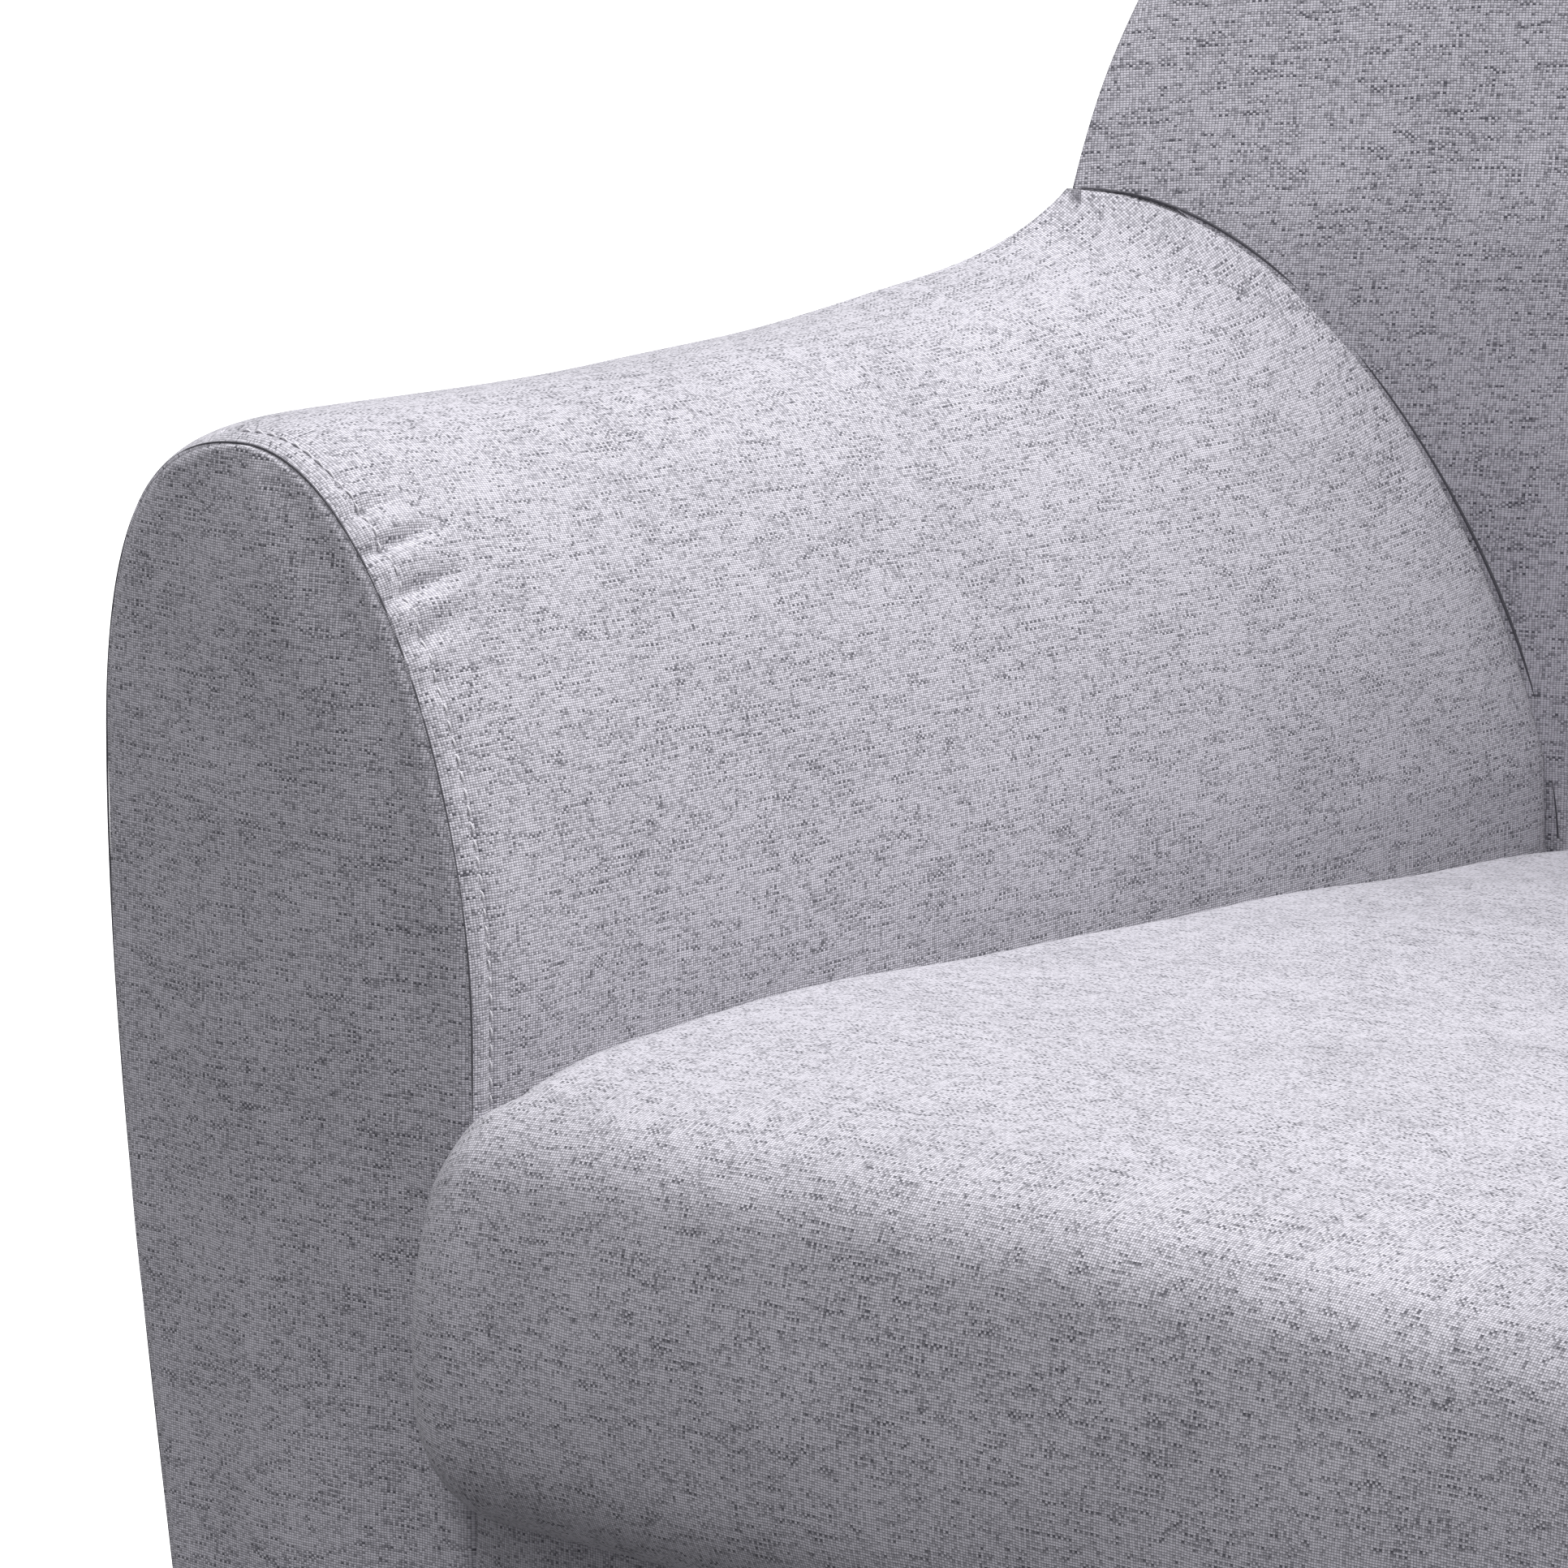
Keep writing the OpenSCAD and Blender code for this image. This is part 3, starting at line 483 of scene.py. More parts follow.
def cellular_material(name, light, dark, scale, rough=0.95):
    """Foam, felt or non-woven lining: a mottled open surface."""
    mat, tree, bsdf = new_material(name)
    n = Nodes(tree)
    place = n.add("ShaderNodeTexCoord").outputs["Object"]
    cell = n.add("ShaderNodeTexVoronoi", feature="SMOOTH_F1")
    n.put(cell.inputs["Vector"], place)
    cell.inputs["Scale"].default_value = scale
    grainy = n.noise(place, scale * 0.7, 4.0, 0.7)
    shade = n.ramp(cell.outputs["Distance"], (0.1, 0.7, 0.0, 0.6))
    shade = n.math("ADD", shade, n.ramp(grainy, (0.3, 0.7, 0, 0.4)), clamp=True)
    n.put(bsdf.inputs["Base Color"], n.blend(shade, (*light, 1), (*dark, 1)))
    n.put(bsdf.inputs["Roughness"], n.ramp(grainy, (0.3, 0.7, rough - 0.08, rough)))
    relief = n.add("ShaderNodeBump")
    relief.inputs["Strength"].default_value = 0.4
    relief.inputs["Distance"].default_value = 0.3 * MM
    n.put(relief.inputs["Height"], shade)
    n.put(bsdf.inputs["Normal"], relief.outputs["Normal"])
    return mat


FABRIC = fabric_material("melange_weave", (0.60, 0.585, 0.635), (0.105, 0.103, 0.122))
LINING = cellular_material("lining", (0.035, 0.035, 0.038), (0.014, 0.014, 0.015), 1400.0, 0.85)
# painted shadow: near-black material for the tubes that stand for the shade in the seam gaps
SEAM_SHADOW_MAT = cellular_material("painted_seam_shadow", (0.10, 0.097, 0.112), (0.06, 0.058, 0.068), 1800.0, 0.9)
THREAD_MAT = cellular_material("sewing_thread", (0.66, 0.65, 0.68), (0.48, 0.47, 0.50), 2500.0, 0.8)


# ---------------------------------------------------------------- upholstery pieces

PUFF = 7 * MM
STITCH_IN = 7.5 * MM
STITCH_PITCH, STITCH_LENGTH, STITCH_RADIUS = 5.1 * MM, 3.9 * MM, 0.40 * MM
# radius of the dark line of painted shadow laid in the gap of a sewn seam
FRONT_SHADOW_R, BACK_SHADOW_R = 0.32 * MM, 0.55 * MM


def front_puff(y):
    """How far the padding swells behind the front seam, along the arm."""
    d = np.maximum(0, y - SEAM_Y)
    return PUFF * (1 - np.exp(-d / 0.012)) * (0.62 + 0.38 * np.exp(-d / 0.09))


def arm_seam_s(v):
    """Running number of the outer seam: on the shoulder at the front, on top further back."""
    return mix(1.16, 1.12, smooth(v / 0.22)) + 0.13 * smooth((v - 0.5) / 0.5)


# gathers along the front seam: place on the section's running number, depth in millimetres, reach
GATHERS = ((0.80, 0.8, 0.6), (0.735, 1.3, 0.8), (0.665, 2.4, 1.2), (0.590, 2.2, 1.15), (0.525, 1.0, 0.8),
           (0.46, 0.5, 0.5))


def gathers(s, d):
    total = 0 * (s + d)
    for place, deep, reach in GATHERS:
        lean = place + 0.7 * (d - 0.012)
        along = np.exp(-((d - 0.012 * reach) / (0.012 * reach)) ** 2)
        total = total - deep * MM * bump(s, lean, 0.010) * along
        total = total + 0.8 * deep * MM * bump(s, lean - 0.027, 0.016) * along
        total = total + 0.4 * deep * MM * bump(s, lean + 0.024, 0.014) * along
    return total


def arm_proud(s, v, y):
    """Height of the padded arm above the section: the swell, the gathers and the stitched line."""
    d = y - SEAM_Y
    swell = front_puff(y) * smooth((s + 0.45) / 1.0) * smooth((1 - v) / 0.25)
    swell = swell - 2.2 * MM * np.exp(-np.maximum(0, 1 - v) / 0.0028) * smooth((1.25 - s) / 0.2)
    line = 0.7 * MM * bump(d, STITCH_IN, 0.0016) * smooth((s + 0.6) / 0.2)
    hem = 0.5 * MM * bump(d, 0.5 * STITCH_IN, 0.0025)
    return swell + gathers(s, d) - line + hem


def arm_inward(s):
    n = section_normal(s)
    return np.stack([-n[..., 0], 0 * n[..., 0], -n[..., 1]], -1)


def arm_inner(dir):
    v = np.concatenate([np.linspace(0, 0.11, 100)[:-1], np.linspace(0.11, 0.97, 160)[:-1],
                        np.linspace(0.97, 1, 40)])[None, :]
    t = np.linspace(0, 1, 260)[:, None]
    s = mix(-0.55, 1.0, t) + (arm_seam_s(v) - 1.0) * smooth((t - 0.55) / 0.45)
    v = v * (1 + 0.03 * smooth((1.2 - s) / 0.3) * smooth((v - 0.8) / 0.2))
    y = mix(SEAM_Y, arm_rear(s)[..., 1], v)
    points = settle(arm_point(s, v, arm_proud(s, v, y), SEAM_Y), 0.5 * MM)
    points = tuck(points, 1, 0, 6 * MM, arm_inward(s[:, 0]))
    points = tuck(points, 0, 1, 5 * MM, np.array([0.0, 0.0, -1.0]))
    side = side_name(dir)
    obj = grid_object(f"arm_inner_{side}", mirrored(points, dir), flip=dir > 0, anchor=2)
    return finish_piece(obj, FABRIC, [f"arm_inner_cover_{side}"])


def arm_outer(dir):
    v = np.concatenate([np.linspace(0, 0.11, 60)[:-1], np.linspace(0.11, 1, 150)])[None, :]
    t = np.linspace(0, 1, 150)[:, None] ** 1.4
    s = mix(arm_seam_s(v), 3.0, t)
    y = mix(SEAM_Y, arm_rear(s)[..., 1], v)
    proud = front_puff(y) * (1 - 0.55 * smooth((s - 1.5) / 1.2)) * smooth((1 - v) / 0.25)
    points = settle(arm_point(s, v, proud, SEAM_Y), 0.5 * MM)
    points = tuck(points, 1, 0, 6 * MM, arm_inward(s[:, 0]))
    points = tuck(points, 1, 1, 6 * MM, np.array([-1.0, 0.0, 0.0]))
    points = tuck(points, 0, 0, 5 * MM, np.array([0.0, 0.0, -1.0]))
    points = tuck(points, 0, 1, 14 * MM, np.array([-1.0, 0.0, 0.1]))
    side = side_name(dir)
    obj = grid_object(f"arm_outer_{side}", mirrored(points, dir), flip=dir > 0, anchor=2)
    return finish_piece(obj, FABRIC, [f"arm_outer_cover_{side}"])


def arm_front(dir):
    """The front panel: lines of the grid run from the arm's inner outline to its outer outline."""
    t = np.concatenate([np.linspace(0, 0.5, 80)[:-1], np.linspace(0.5, 1, 150)])[:, None]
    w = (0.5 - 0.5 * np.cos(np.linspace(0, math.pi, 110)))[None, :]
    inner = section(mix(-1.0, 0.985, t[:, 0]))
    outer = section(mix(3.0, 1.015, t[:, 0] ** 0.8))
    flat = mix(inner[:, None, :], outer[:, None, :], w[..., None])
    width = np.linalg.norm(outer - inner, axis=-1)[:, None]
    to_edge = np.minimum(np.minimum(w, 1 - w) * width, (1 - t) * 0.30 + MM)
    rise = 1 - np.exp(-to_edge / 0.002)
    bow = 5.0 * MM * (1 - (2 * w - 1) ** 2) * smooth(to_edge / 0.06)
    y = SEAM_Y + 1.8 * MM - 3.4 * MM * rise - bow
    points = np.stack([HALF_SEAT + flat[..., 0], y + 0 * flat[..., 0], flat[..., 1]], -1)
    points = settle(points, -0.4 * MM)
    points = tuck(points, 0, 0, 14 * MM, np.array([0.0, 1.0, 0.1]))
    uv = np.stack([points[..., 0], points[..., 2]], -1)
    side = side_name(dir)
    obj = grid_object(f"arm_front_{side}", mirrored(points, dir), flip=dir < 0, uv=uv)
    return finish_piece(obj, FABRIC, [f"arm_front_panel_{side}"])


def capsule(a, b, radius, lift):
    """A short stitch between two points: a thin bead that dips into the cloth at both ends."""
    ring, along = 6, 5
    axis = (b - a) / np.linalg.norm(b - a)
    side = np.cross(axis, lift)
    side /= np.linalg.norm(side)
    up = np.cross(side, axis)
    points = []
    for i in range(along):
        t = i / (along - 1)
        r = radius * (0.35 + 0.65 * math.sin(math.pi * t) ** 0.5)
        mid = mix(a, b, t) + up * radius * (1.6 * math.sin(math.pi * t) - 0.9)
        for k in range(ring):
            turn = 2 * math.pi * k / ring
            points.append(mid + side * r * math.cos(turn) + up * r * math.sin(turn))
    faces = [(i * ring + k, i * ring + (k + 1) % ring, (i + 1) * ring + (k + 1) % ring, (i + 1) * ring + k)
             for i in range(along - 1) for k in range(ring)]
    faces += [tuple(range(ring))[::-1], tuple((along - 1) * ring + k for k in range(ring))]
    return points, faces


def stitch_row(name, path, normals, pitch, length, radius):
    """Stitches of one length along a path, as one mesh."""
    run = np.concatenate([[0], np.cumsum(np.linalg.norm(np.diff(path, axis=0), axis=-1))])
    verts, faces = [], []
    for k in range(int(run[-1] / pitch)):
        ends = [np.array([np.interp(k * pitch + e, run, path[:, c]) for c in range(3)]) for e in (0, length)]
        up = np.array([np.interp(k * pitch, run, normals[:, c]) for c in range(3)])
        p, f = capsule(ends[0], ends[1], radius, up)
        faces += [tuple(i + len(verts) for i in face) for face in f]
        verts += [tuple(q) for q in p]
    mesh = bpy.data.meshes.new(name)
    mesh.from_pydata(verts, [], faces)
    for poly in mesh.polygons:
        poly.use_smooth = True
    obj = bpy.data.objects.new(name, mesh)
    bpy.context.scene.collection.objects.link(obj)
    return obj


def seam_shadow_line(name, path, radius):
    """Painted shadow of a sewn seam: a dark tube laid in the gap between two panels, where only shade falls.
    """
    d = np.gradient(path, axis=0)
    side = np.cross(d, np.array([0.3, 0.5, 0.8]))
    side /= np.linalg.norm(side, axis=-1, keepdims=True)
    up = np.cross(side, d)
    up /= np.linalg.norm(up, axis=-1, keepdims=True)
    turn = np.linspace(0, 2 * math.pi, 9)[None, :, None]
    points = path[:, None] + radius * (side[:, None] * np.cos(turn) + up[:, None] * np.sin(turn))
    return finish_piece(grid_object(name, points, weld=True), SEAM_SHADOW_MAT, [])


def arm_seam_shadows(dir):
    """Painted seam shadows: dark lines round the front panel and between the arm and the inside back."""
    name = side_name(dir)
    p = section(np.linspace(-0.6, 3.0, 500))
    front = np.stack([HALF_SEAT + p[:, 0], SEAM_Y + 0.3 * MM + 0 * p[:, 0], p[:, 1]], -1)
    seam_shadow_line(f"seam_shadow_front_{name}", mirrored(front, dir), FRONT_SHADOW_R)
    rear = seam(np.linspace(0.02, 0.985, 300)) + np.array([0.0, 0.5 * MM, 0.0])
    seam_shadow_line(f"seam_shadow_back_{name}", mirrored(rear, dir), BACK_SHADOW_R)


def arm_topstitch(dir):
    s = np.linspace(-0.15, 1.12, 260)
    v = STITCH_IN / (arm_rear(s)[:, 1] - SEAM_Y)
    y = np.full(s.shape, SEAM_Y + STITCH_IN)
    path = arm_point(s, v, arm_proud(s, v, y) + 0.1 * MM, SEAM_Y)
    normals = -arm_inward(s)
    side = side_name(dir)
    obj = stitch_row(f"topstitch_{side}", mirrored(path, dir), mirrored(normals, dir),
                     STITCH_PITCH, STITCH_LENGTH, STITCH_RADIUS)
    return finish_piece(obj, THREAD_MAT, [])


def inside_y(x, z):
    """The inside back above the arm tops, as its y at x and z."""
    h = np.clip((z - SEAM_TOP_Z) / BACK_RISE, 0, 1)
    half = np.maximum(BACK_HALF * (1 - h ** BACK_POWER) ** (1 / BACK_POWER), 0.1 * MM)
    q = np.clip(np.abs(x) / half, 0, 1)
    return centre_y(z) - (centre_y(z) - edge_y(z)) * q ** HOLLOW


# radius of the rounded edge at the arm, how much it grows, and over which height
EDGE_R, EDGE_GROWTH, EDGE_RISE = 0.9 * MM, 25 * MM, 0.24


class Rim:
    """The back's rounded edge at angles "turn" round its outline, 0 at the arm and 90 degrees on top."""

    def __init__(self, turn):
        self.x, self.z = turn_x(turn), turn_z(turn)
        nx = (self.x / BACK_HALF) ** (BACK_POWER - 1) / BACK_HALF
        nz = ((self.z - SEAM_TOP_Z) / BACK_RISE) ** (BACK_POWER - 1) / BACK_RISE
        size = np.sqrt(nx * nx + nz * nz)
        self.nx, self.nz = nx / size, nz / size
        self.r = EDGE_R + EDGE_GROWTH * smooth((self.z - SEAM_TOP_Z) / EDGE_RISE)
        step = 2 * MM
        slope = (self.inner_y(1.4 * self.r) - self.inner_y(1.4 * self.r + step)) / step
        self.lean = np.arctan(-slope)
        self.reach = self.r * (1 + np.sin(self.lean))
        self.y = self.inner_y(self.reach) + self.r * np.cos(self.lean)

    def inner_y(self, inset):
        return inside_y(self.x - self.nx * inset, self.z - self.nz * inset)


SEAM_DIP = 1.3 * MM


def dip(distance):
    """How deep the seam round the back's edge draws the cloth in."""
    return SEAM_DIP * np.exp(-distance / (1.6 * MM))


def both_sides(ray):
    """Rows from left to right out of rays that run from the middle to the right."""
    left = mirrored(ray, -1)[:, :0:-1]
    return np.concatenate([left, ray], 1)


def fan_uv(points, low_rows, anchor):
    """Thread coordinates of rows that turn into a fan: straight rows first, then rays."""
    low = cloth_uv(points[:low_rows + 1], anchor)
    low[..., 1] = arc_lengths(points[:low_rows + 1], 0)[:, anchor:anchor + 1]
    fan = points[low_rows:]
    reach = arc_lengths(fan, 1)
    reach = reach - reach[:, anchor:anchor + 1]
    last = fan[:, -1]
    turn = np.arctan2(last[:, 2] - SEAM_TOP_Z, last[:, 0])[:, None]
    flat = np.hypot(last[:, 2] - SEAM_TOP_Z, last[:, 0])[:, None] / reach[:, -1:]
    v = low[-1, anchor, 1] + np.abs(reach) * np.sin(turn) * mix(flat, 1.0, np.sin(turn) ** 2)
    return np.concatenate([low[:-1], np.stack([reach * np.cos(turn), v], -1)])


FAN = np.concatenate([[0], np.linspace(0, 1, 200)[1:] ** 1.2]) * math.pi / 2


def back_inner():
    """The inside back: rows below the arm tops, above them rays that roll over the edge."""
    rim = Rim(FAN[:, None])
    share = np.sin(math.pi / 2 * np.linspace(0, 1, 150))[None, :]
    x = share * (rim.x - rim.nx * rim.reach)
    z = SEAM_TOP_Z + share * (rim.z - rim.nz * rim.reach - SEAM_TOP_Z)
    turn = mix(-math.pi / 2 - rim.lean, 0.0, np.linspace(0, 1, 22)[None, 1:])
    out = rim.r * (np.cos(turn) - 1) - dip(-turn * rim.r)
    roll = np.stack([rim.x + rim.nx * out, rim.y + rim.r * np.sin(turn), rim.z + rim.nz * out], -1)
    ray = np.concatenate([np.stack([x, inside_y(x, z), z], -1), roll], 1)
    high = both_sides(ray)
    line = seam(np.linspace(0, 1, 200))
    low_z = np.linspace(BODY_Z + 0.12, SEAM_TOP_Z, 170)[:-1, None]
    beyond = 1 + 0.03 * smooth((SEAM_TOP_Z - 0.002 - low_z) / 0.02)
    x = high[:1, :, 0] / BACK_HALF * np.interp(low_z, line[:, 2], line[:, 0]) * beyond
    rolled = high[:1, :, 1] - inside_y(high[:1, :, 0], SEAM_TOP_Z)
    low = np.stack([x, hollow(x, low_z) + rolled, low_z + 0 * x], -1)
    points = settle(np.concatenate([low, high]), 0.6 * MM, (0.0, -1.0, 0.0))
    middle = points.shape[1] // 2
    uv = fan_uv(points, len(low), middle)
    obj = grid_object("back_inner", points, uv=uv, weld=True)
    return finish_piece(obj, FABRIC, ["back_inner_cover", "back_top_cover"])


OUTER_POWER = 2.9
SIDE_SEAM = arm_rear(np.linspace(3.0, OUTER_S, 200))


def outer_row(z, w, start):
    """Points of the back's outside at height z below the arm tops, w from 0 to 1 (right seam)."""
    t = (SEAM_TOP_Z - z) / (SEAM_TOP_Z - BODY_Z)
    seam_x, seam_y = (np.interp(z, SIDE_SEAM[:, 2], SIDE_SEAM[:, k]) for k in (0, 1))
    seam_y = seam_y + start * smooth(1 - t / 0.12)
    wide_x = mix(BACK_HALF, SIDE_SEAM[0, 0], t) + 0.026 * np.sin(math.pi * t)
    wide_y = mix(start, SIDE_SEAM[0, 1], t * t) - 0.10 * t * (1 - t) ** 2
    near = smooth((w - 0.76) / 0.22)
    ex, ey = mix(wide_x, seam_x, near), mix(wide_y, seam_y, near)
    a = math.pi / 2 * (1 - w)
    c, s = np.cos(a) ** (2 / OUTER_POWER), np.sin(a) ** (2 / OUTER_POWER)
    return np.stack([ex * c, ey + (rear_y(z) - ey) * s, z + 0 * c], -1)


def back_outer():
    """The outside of the back, with the same rows and rays as the inside."""
    rim = Rim(FAN[:, None])
    w = 1 - (1 - np.linspace(0, 1, 170)[None, :]) ** 1.8
    a = math.pi / 2 * (1 - w)
    c, s = np.cos(a) ** (2 / OUTER_POWER), np.sin(a) ** (2 / OUTER_POWER)
    c[0, 0] = 0  # exactly on the middle
    z = SEAM_TOP_Z + c * (rim.z - SEAM_TOP_Z)
    y = rim.y + (rear_y(z) - rim.y) * s
    inward = dip(y - rim.y)
    ray = np.stack([rim.x * c - rim.nx * inward, y, z - rim.nz * inward], -1)
    low_z = np.linspace(BODY_Z, SEAM_TOP_Z, 120)[:-1, None]
    low = outer_row(low_z, w, float(rim.y[0, 0]))
    points = settle(both_sides(np.concatenate([low, ray])), 0.7 * MM, (0.0, 1.0, 0.0))
    tucked = smooth((SEAM_TOP_Z - points[:, 0, 2]) / 0.008) * (np.arange(len(points)) < len(low))
    inward = tucked[:, None] * np.array([1.0, 0.0, 0.0])
    points = tuck(points, 1, 0, 8 * MM, inward)
    points = tuck(points, 1, 1, 8 * MM, -inward)
    points = tuck(points, 0, 0, 14 * MM, np.array([0.0, -1.0, 0.1]))
    uv = fan_uv(points, len(low) + 2, points.shape[1] // 2)
    obj = grid_object("back_outer", points, flip=True, uv=uv, weld=True)
    return finish_piece(obj, FABRIC, ["back_outer_cover"])


# ---------------------------------------------------------------- seat cushion

CUSHION_LOW = SEAT_LO[2]
SEAT_H = CUSHION_LOW + 0.132
NOSE_Y = SEAT_LO[1] - 0.006
REAR_Y = SEAT_HI[1]
# rounding of the cushion's ends, along x, y and z
EDGE_X, EDGE_Y, EDGE_Z = 26 * MM, 16 * MM, 34 * MM
CROWN = 10 * MM


def chain(points, count):
    """A smooth curve through Bezier pieces that share their ends: 3 n + 1 control points."""
    pieces = [points[k:k + 4] for k in range(0, len(points) - 1, 3)]
    curve = np.concatenate([bez(p, np.linspace(0, 1, 60, endpoint=False)) for p in pieces])
    run = np.concatenate([[0], np.cumsum(np.linalg.norm(np.diff(curve, axis=0), axis=-1))])
    even = np.linspace(0, run[-1], count)
    return np.stack([np.interp(even, run, curve[:, k]) for k in range(2)], -1)


def cushion_outline():
    """The cushion's section along the chair, from its front lower edge over the top to its rear."""
    n, r, h, low = NOSE_Y, REAR_Y, SEAT_H, CUSHION_LOW
    return chain([
        (n + 0.045, low), (n + 0.020, low - 0.003), (n + 0.003, low + 0.006), (n, low + 0.034),
        (n - 0.0025, low + 0.058), (n + 0.0012, h - 0.0453), (n + 0.008, h - 0.0265),
        (n + 0.0125, h - 0.0141), (n + 0.0272, h - 0.0026), (n + 0.042, h),
        (n + 0.060, h + 0.0032), (n + 0.100, h + 0.008), (n + 0.140, h + 0.0072),
        (n + 0.180, h + 0.0064), (n + 0.250, h + 0.0027), (n + 0.310, h + 0.0003),
        (n + 0.370, h - 0.0021), (r - 0.080, h - 0.007), (r - 0.018, h - 0.0155),
        (r - 0.005, h - 0.018), (r, h - 0.027), (r, h - 0.052),
    ], 460)


def seat_cushion():
    outline = cushion_outline()
    y, z = outline[:, :1], outline[:, 1:]
    d = np.gradient(outline, axis=0)
    across = np.stack([d[:, 1], -d[:, 0]], -1) / np.linalg.norm(d, axis=-1, keepdims=True)
    middle = (CUSHION_LOW + SEAT_H) / 2
    front = smooth((FRONT_Y + 0.012 - y) / 0.014)
    half = HALF_SEAT + 0.0006 + 0.0076 * front
    size = mix(0.47, 1.0, smooth((FRONT_Y + 0.050 - y) / 0.050))
    a = np.linspace(math.pi / 2, -math.pi / 3, 40)[None, 1:]
    x_flat = np.linspace(0, 1, 110)[None, 1:] * (half - EDGE_X)
    x_round = half - np.where(a > 0, EDGE_X, 0.55 * EDGE_X * front) * (1 - np.cos(a))
    x = np.concatenate([x_flat, x_round], 1)
    inset = size * np.concatenate([0 * x_flat, 1 - np.sin(a) + 0 * x_round], 1)
    crown = 1 - (x / half) ** 2
    py = y + across[:, :1] * inset * EDGE_Y - 4 * MM * crown * front
    pz = z + across[:, 1:] * inset * EDGE_Z + CROWN * crown * smooth((z - middle) / 0.05)
    main = np.stack([x, py, pz], -1)
    hub = np.array([0.0, FRONT_Y + 0.030, middle])
    caps = []
    for k in (0.85, 0.6, 0.3, 0.0):
        rim = main[:, -1]
        ring = hub + (rim - hub) * k
        ring[:, 0] = rim[:, 0]
        caps.append(ring[:, None])
    right = np.concatenate([main] + caps, 1)
    mid = np.stack([0 * y, y - 4 * MM * front, z + CROWN * smooth((z - middle) / 0.05)], -1)
    points = np.concatenate([mirrored(right, -1)[:, ::-1], mid, right], 1)
    points = settle(points, 0.7 * MM)
    obj = grid_object("seat_cushion_cover", points, flip=True, anchor=points.shape[1] // 2)
    return finish_piece(obj, FABRIC, ["seat_cushion"])


def front_rail():
    x = np.linspace(-1, 1, 200)[None, :] * (HALF_SEAT + MM)
    z = np.linspace(BODY_Z, CUSHION_LOW + 0.014, 60)[:, None]
    y = SEAM_Y + 1.5 * MM - 4 * MM * (1 - np.abs(x / (HALF_SEAT + MM)) ** 16) + 0 * z
    points = settle(np.stack([x + 0 * z, y, z + 0 * x], -1), 0.3 * MM)
    points = tuck(points, 0, 0, 14 * MM, np.array([0.0, 1.0, 0.1]))
    obj = grid_object("front_rail_panel", points, anchor=100)
    return finish_piece(obj, FABRIC, ["front_rail_cover"])


def lining():
    """The lining under the seat, stretched over the rails and sagging a little between them."""
    lo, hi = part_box("dust_cover")
    y = np.linspace(lo[1], hi[1], 150)[:, None]
    edge_y0 = SIDE_SEAM[0, 1]
    h = np.clip((y - edge_y0) / (hi[1] - edge_y0), 0, 1)
    half = hi[0] * (1 - h ** OUTER_POWER * 0.999) ** (1 / OUTER_POWER)
    x = np.linspace(-1, 1, 150)[None, :] * half
    sag_z = 5 * MM * (1 - np.abs(x / 0.24) ** 4).clip(0) * (1 - np.abs((y + 0.09) / 0.26) ** 4).clip(0)
    wrinkle = 0.8 * MM * np.sin(75 * x + 9 * np.sin(11 * y)) * bump(y, lo[1], 0.05)
    z = lo[2] - 0.3 * MM - sag_z + wrinkle
    points = np.stack([x, y + 0 * x, z + 0 * x], -1)
    obj = grid_object("seat_lining", points, flip=True, anchor=75)
    obj.data.materials.append(LINING)
    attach(obj, "root")
    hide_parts("dust_cover")
    return obj


# ---------------------------------------------------------------- materials of the carried-over nodes

def dress_nodes():
    beech_light, beech_dark = (0.66, 0.46, 0.28), (0.42, 0.25, 0.13)
    pine_light, pine_dark = (0.70, 0.52, 0.32), (0.50, 0.33, 0.17)
    beech = [wood_material(f"beech_{k}", k, beech_light, beech_dark, 0.34) for k in range(3)]
    pine = [wood_material(f"pine_{k}", k, pine_light, pine_dark, 0.65, 40.0) for k in range(3)]
    finishes = {
        "hardware_steel": metal_material("zinc_plate", (0.60, 0.60, 0.62), 0.30),
        "spring_steel": metal_material("spring_wire", (0.30, 0.30, 0.32), 0.35),
        "foam": cellular_material("foam", (0.86, 0.78, 0.52), (0.66, 0.56, 0.34), 700.0),
        "felt": cellular_material("felt", (0.52, 0.50, 0.45), (0.30, 0.28, 0.25), 900.0),
        "lining": LINING,
    }
    slots = {p["node"]: p["material_slot"] for p in frame["record"]["subparts"]}
    for node, where in slots.items():
        obj = bpy.data.objects.get(node)
        if obj is None or where == "upholstery":
            continue
        lo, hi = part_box(node)
        axis = int(np.argmax(np.subtract(hi, lo)))
        mat = {"base_wood": beech[axis], "frame_wood": pine[axis]}.get(where) or finishes[where]
        for k in range(len(obj.material_slots)):
            obj.material_slots[k].material = mat


# ---------------------------------------------------------------- stage, light, camera

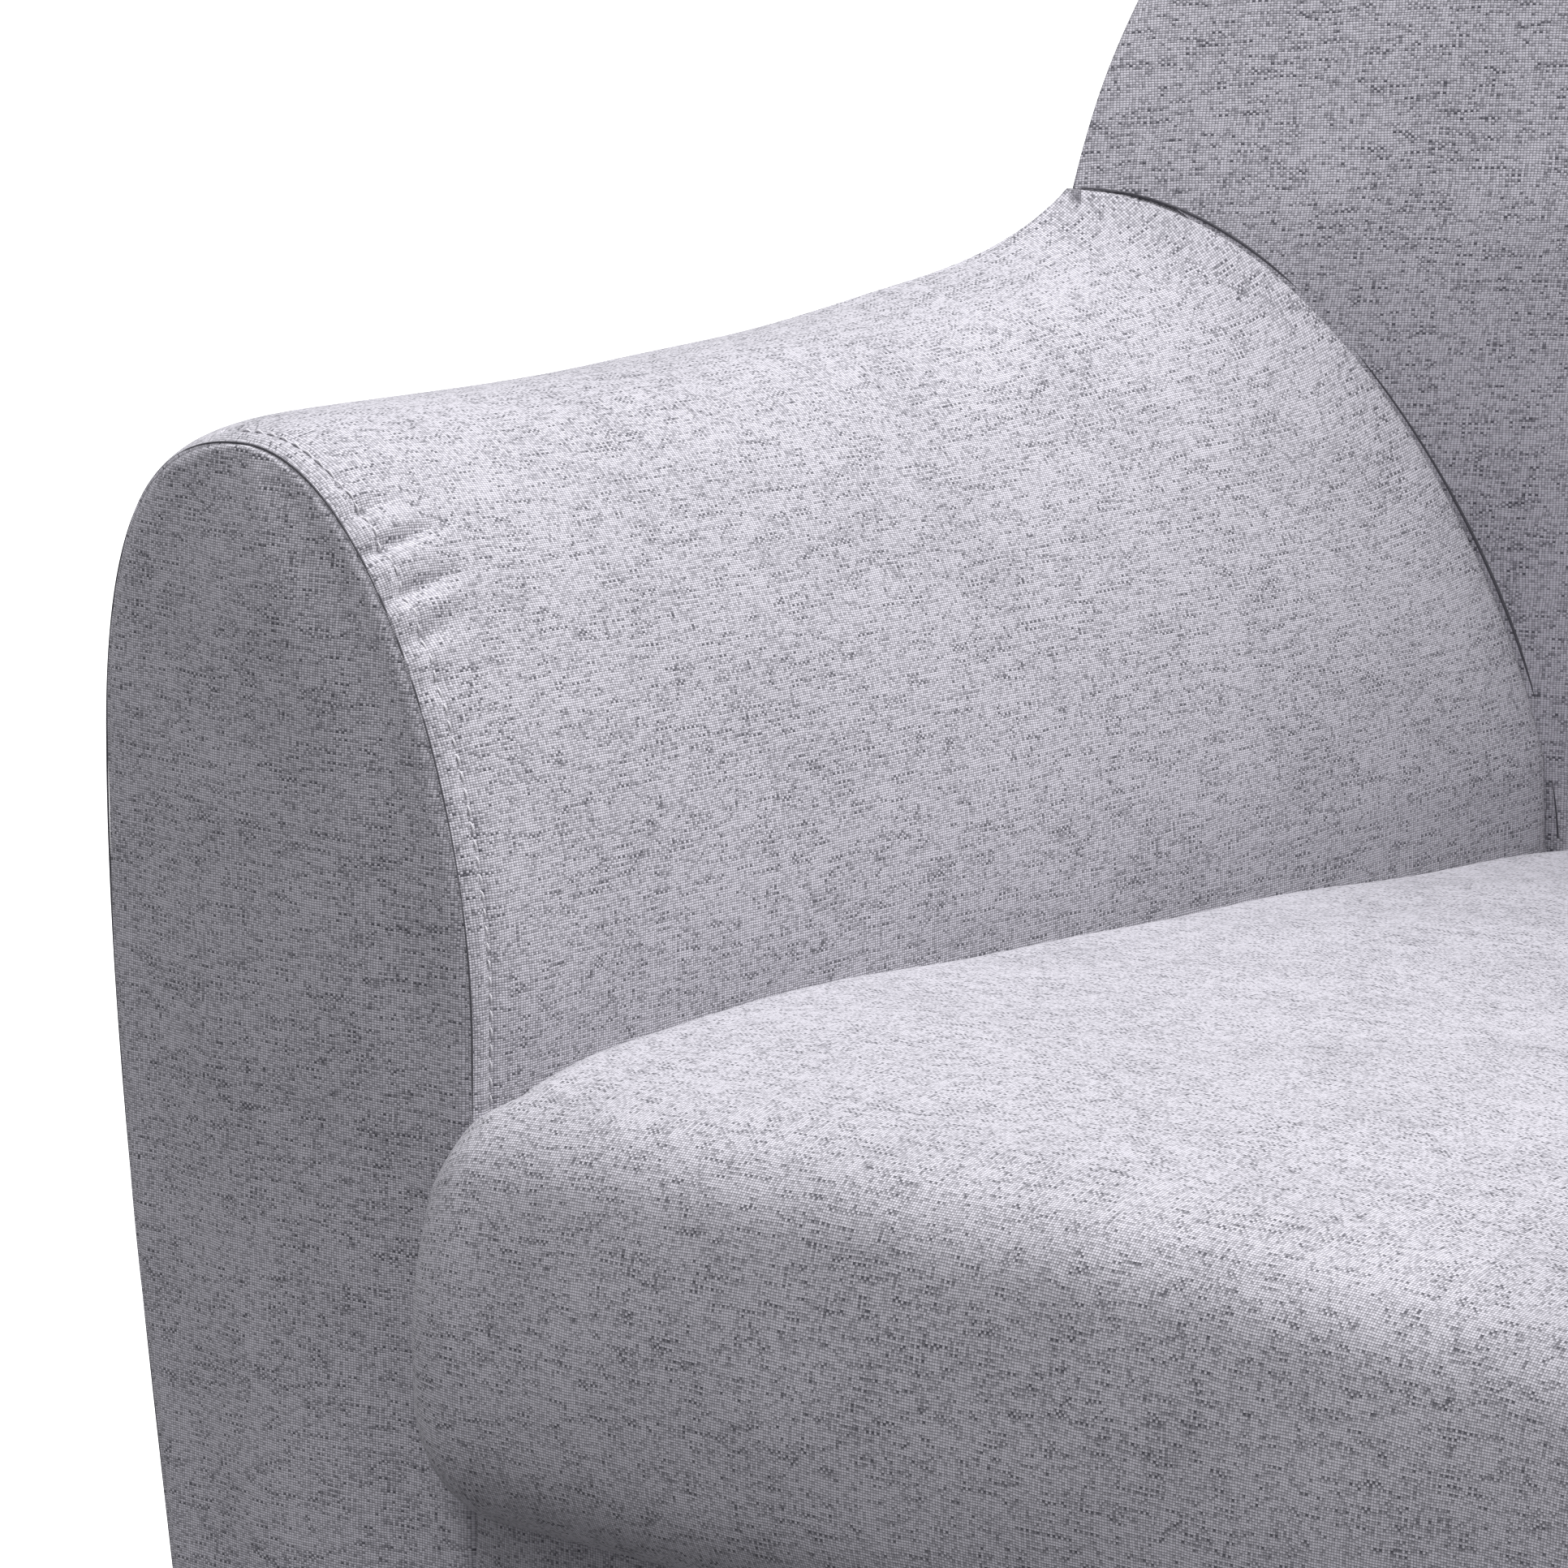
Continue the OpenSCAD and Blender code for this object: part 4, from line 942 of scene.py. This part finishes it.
def stage():
    floor = bpy.data.meshes.new("floor")
    half = 14.0
    corners = [(-half, -half, 0), (half, -half, 0), (half, half, 0), (-half, half, 0)]
    floor.from_pydata(corners, [], [(0, 1, 2, 3)])
    obj = bpy.data.objects.new("floor", floor)
    bpy.context.scene.collection.objects.link(obj)
    mat, tree, bsdf = new_material("pale_floor")
    n = Nodes(tree)
    tone = n.noise(n.add("ShaderNodeTexCoord").outputs["Object"], 3.0, 4.0, 0.6)
    n.put(bsdf.inputs["Base Color"], n.blend(tone, (0.93, 0.93, 0.93, 1), (0.90, 0.90, 0.90, 1)))
    bsdf.inputs["Roughness"].default_value = 0.9
    dull = n.add("ShaderNodeBsdfDiffuse")
    dull.inputs["Color"].default_value = (0.13, 0.13, 0.135, 1)
    seen = n.add("ShaderNodeLightPath").outputs["Is Camera Ray"]
    both = n.add("ShaderNodeMixShader")
    n.put(both.inputs[0], seen)
    tree.links.new(dull.outputs[0], both.inputs[1])
    tree.links.new(bsdf.outputs[0], both.inputs[2])
    tree.links.new(both.outputs[0], tree.nodes["Material Output"].inputs[0])
    floor.materials.append(mat)


def sun(name, towards, strength, angle, colour=(1, 1, 1)):
    """A soft sun; "towards" points from the chair to the light."""
    data = bpy.data.lights.new(name, "SUN")
    data.energy = strength
    data.angle = math.radians(angle)
    data.color = colour
    obj = bpy.data.objects.new(name, data)
    bpy.context.scene.collection.objects.link(obj)
    obj.rotation_euler = Vector(towards).to_track_quat("Z", "Y").to_euler()


def lights():
    world = bpy.data.worlds.new("studio")
    bpy.context.scene.world = world
    world.use_nodes = True
    tree = world.node_tree
    n = Nodes(tree)
    back = tree.nodes["Background"]
    back.inputs["Color"].default_value = (0.98, 0.98, 1.0, 1)
    seen = n.add("ShaderNodeLightPath").outputs["Is Camera Ray"]
    n.put(back.inputs["Strength"], n.blend_value(seen, 0.33, 1.15))
    sun("key", (0.36, 0.32, 0.88), 4.0, 45)
    sun("front", (0.05, -0.42, 0.89), 1.65, 30, (0.97, 0.97, 1.0))
    view = bpy.context.scene.view_settings
    view.view_transform = "Standard"
    view.look = "None"


AZIMUTH, ELEVATION, DISTANCE = 42.0, 12.5, 3.81


def camera():
    """Aimed at the front end of the left arm's inner edge, from the right and slightly above."""
    aim = np.array([-HALF_SEAT + 0.054, FRONT_Y + 0.082, ARM_H - 0.094])
    a, e = math.radians(AZIMUTH), math.radians(ELEVATION)
    away = np.array([math.sin(a) * math.cos(e), -math.cos(a) * math.cos(e), math.sin(e)])
    data = bpy.data.cameras.new("camera")
    data.sensor_width = 36
    data.lens = 298
    data.clip_end = 100
    obj = bpy.data.objects.new("camera", data)
    obj.location = aim + away * DISTANCE
    obj.rotation_euler = (math.pi / 2 - e, 0, a)
    bpy.context.scene.collection.objects.link(obj)
    bpy.context.scene.camera = obj


camera()
lights()
stage()
for dir in (-1, 1):
    arm_inner(dir)
    arm_outer(dir)
    arm_front(dir)
    arm_seam_shadows(dir)
    arm_topstitch(dir)
back_inner()
back_outer()
seat_cushion()
front_rail()
lining()
dress_nodes()
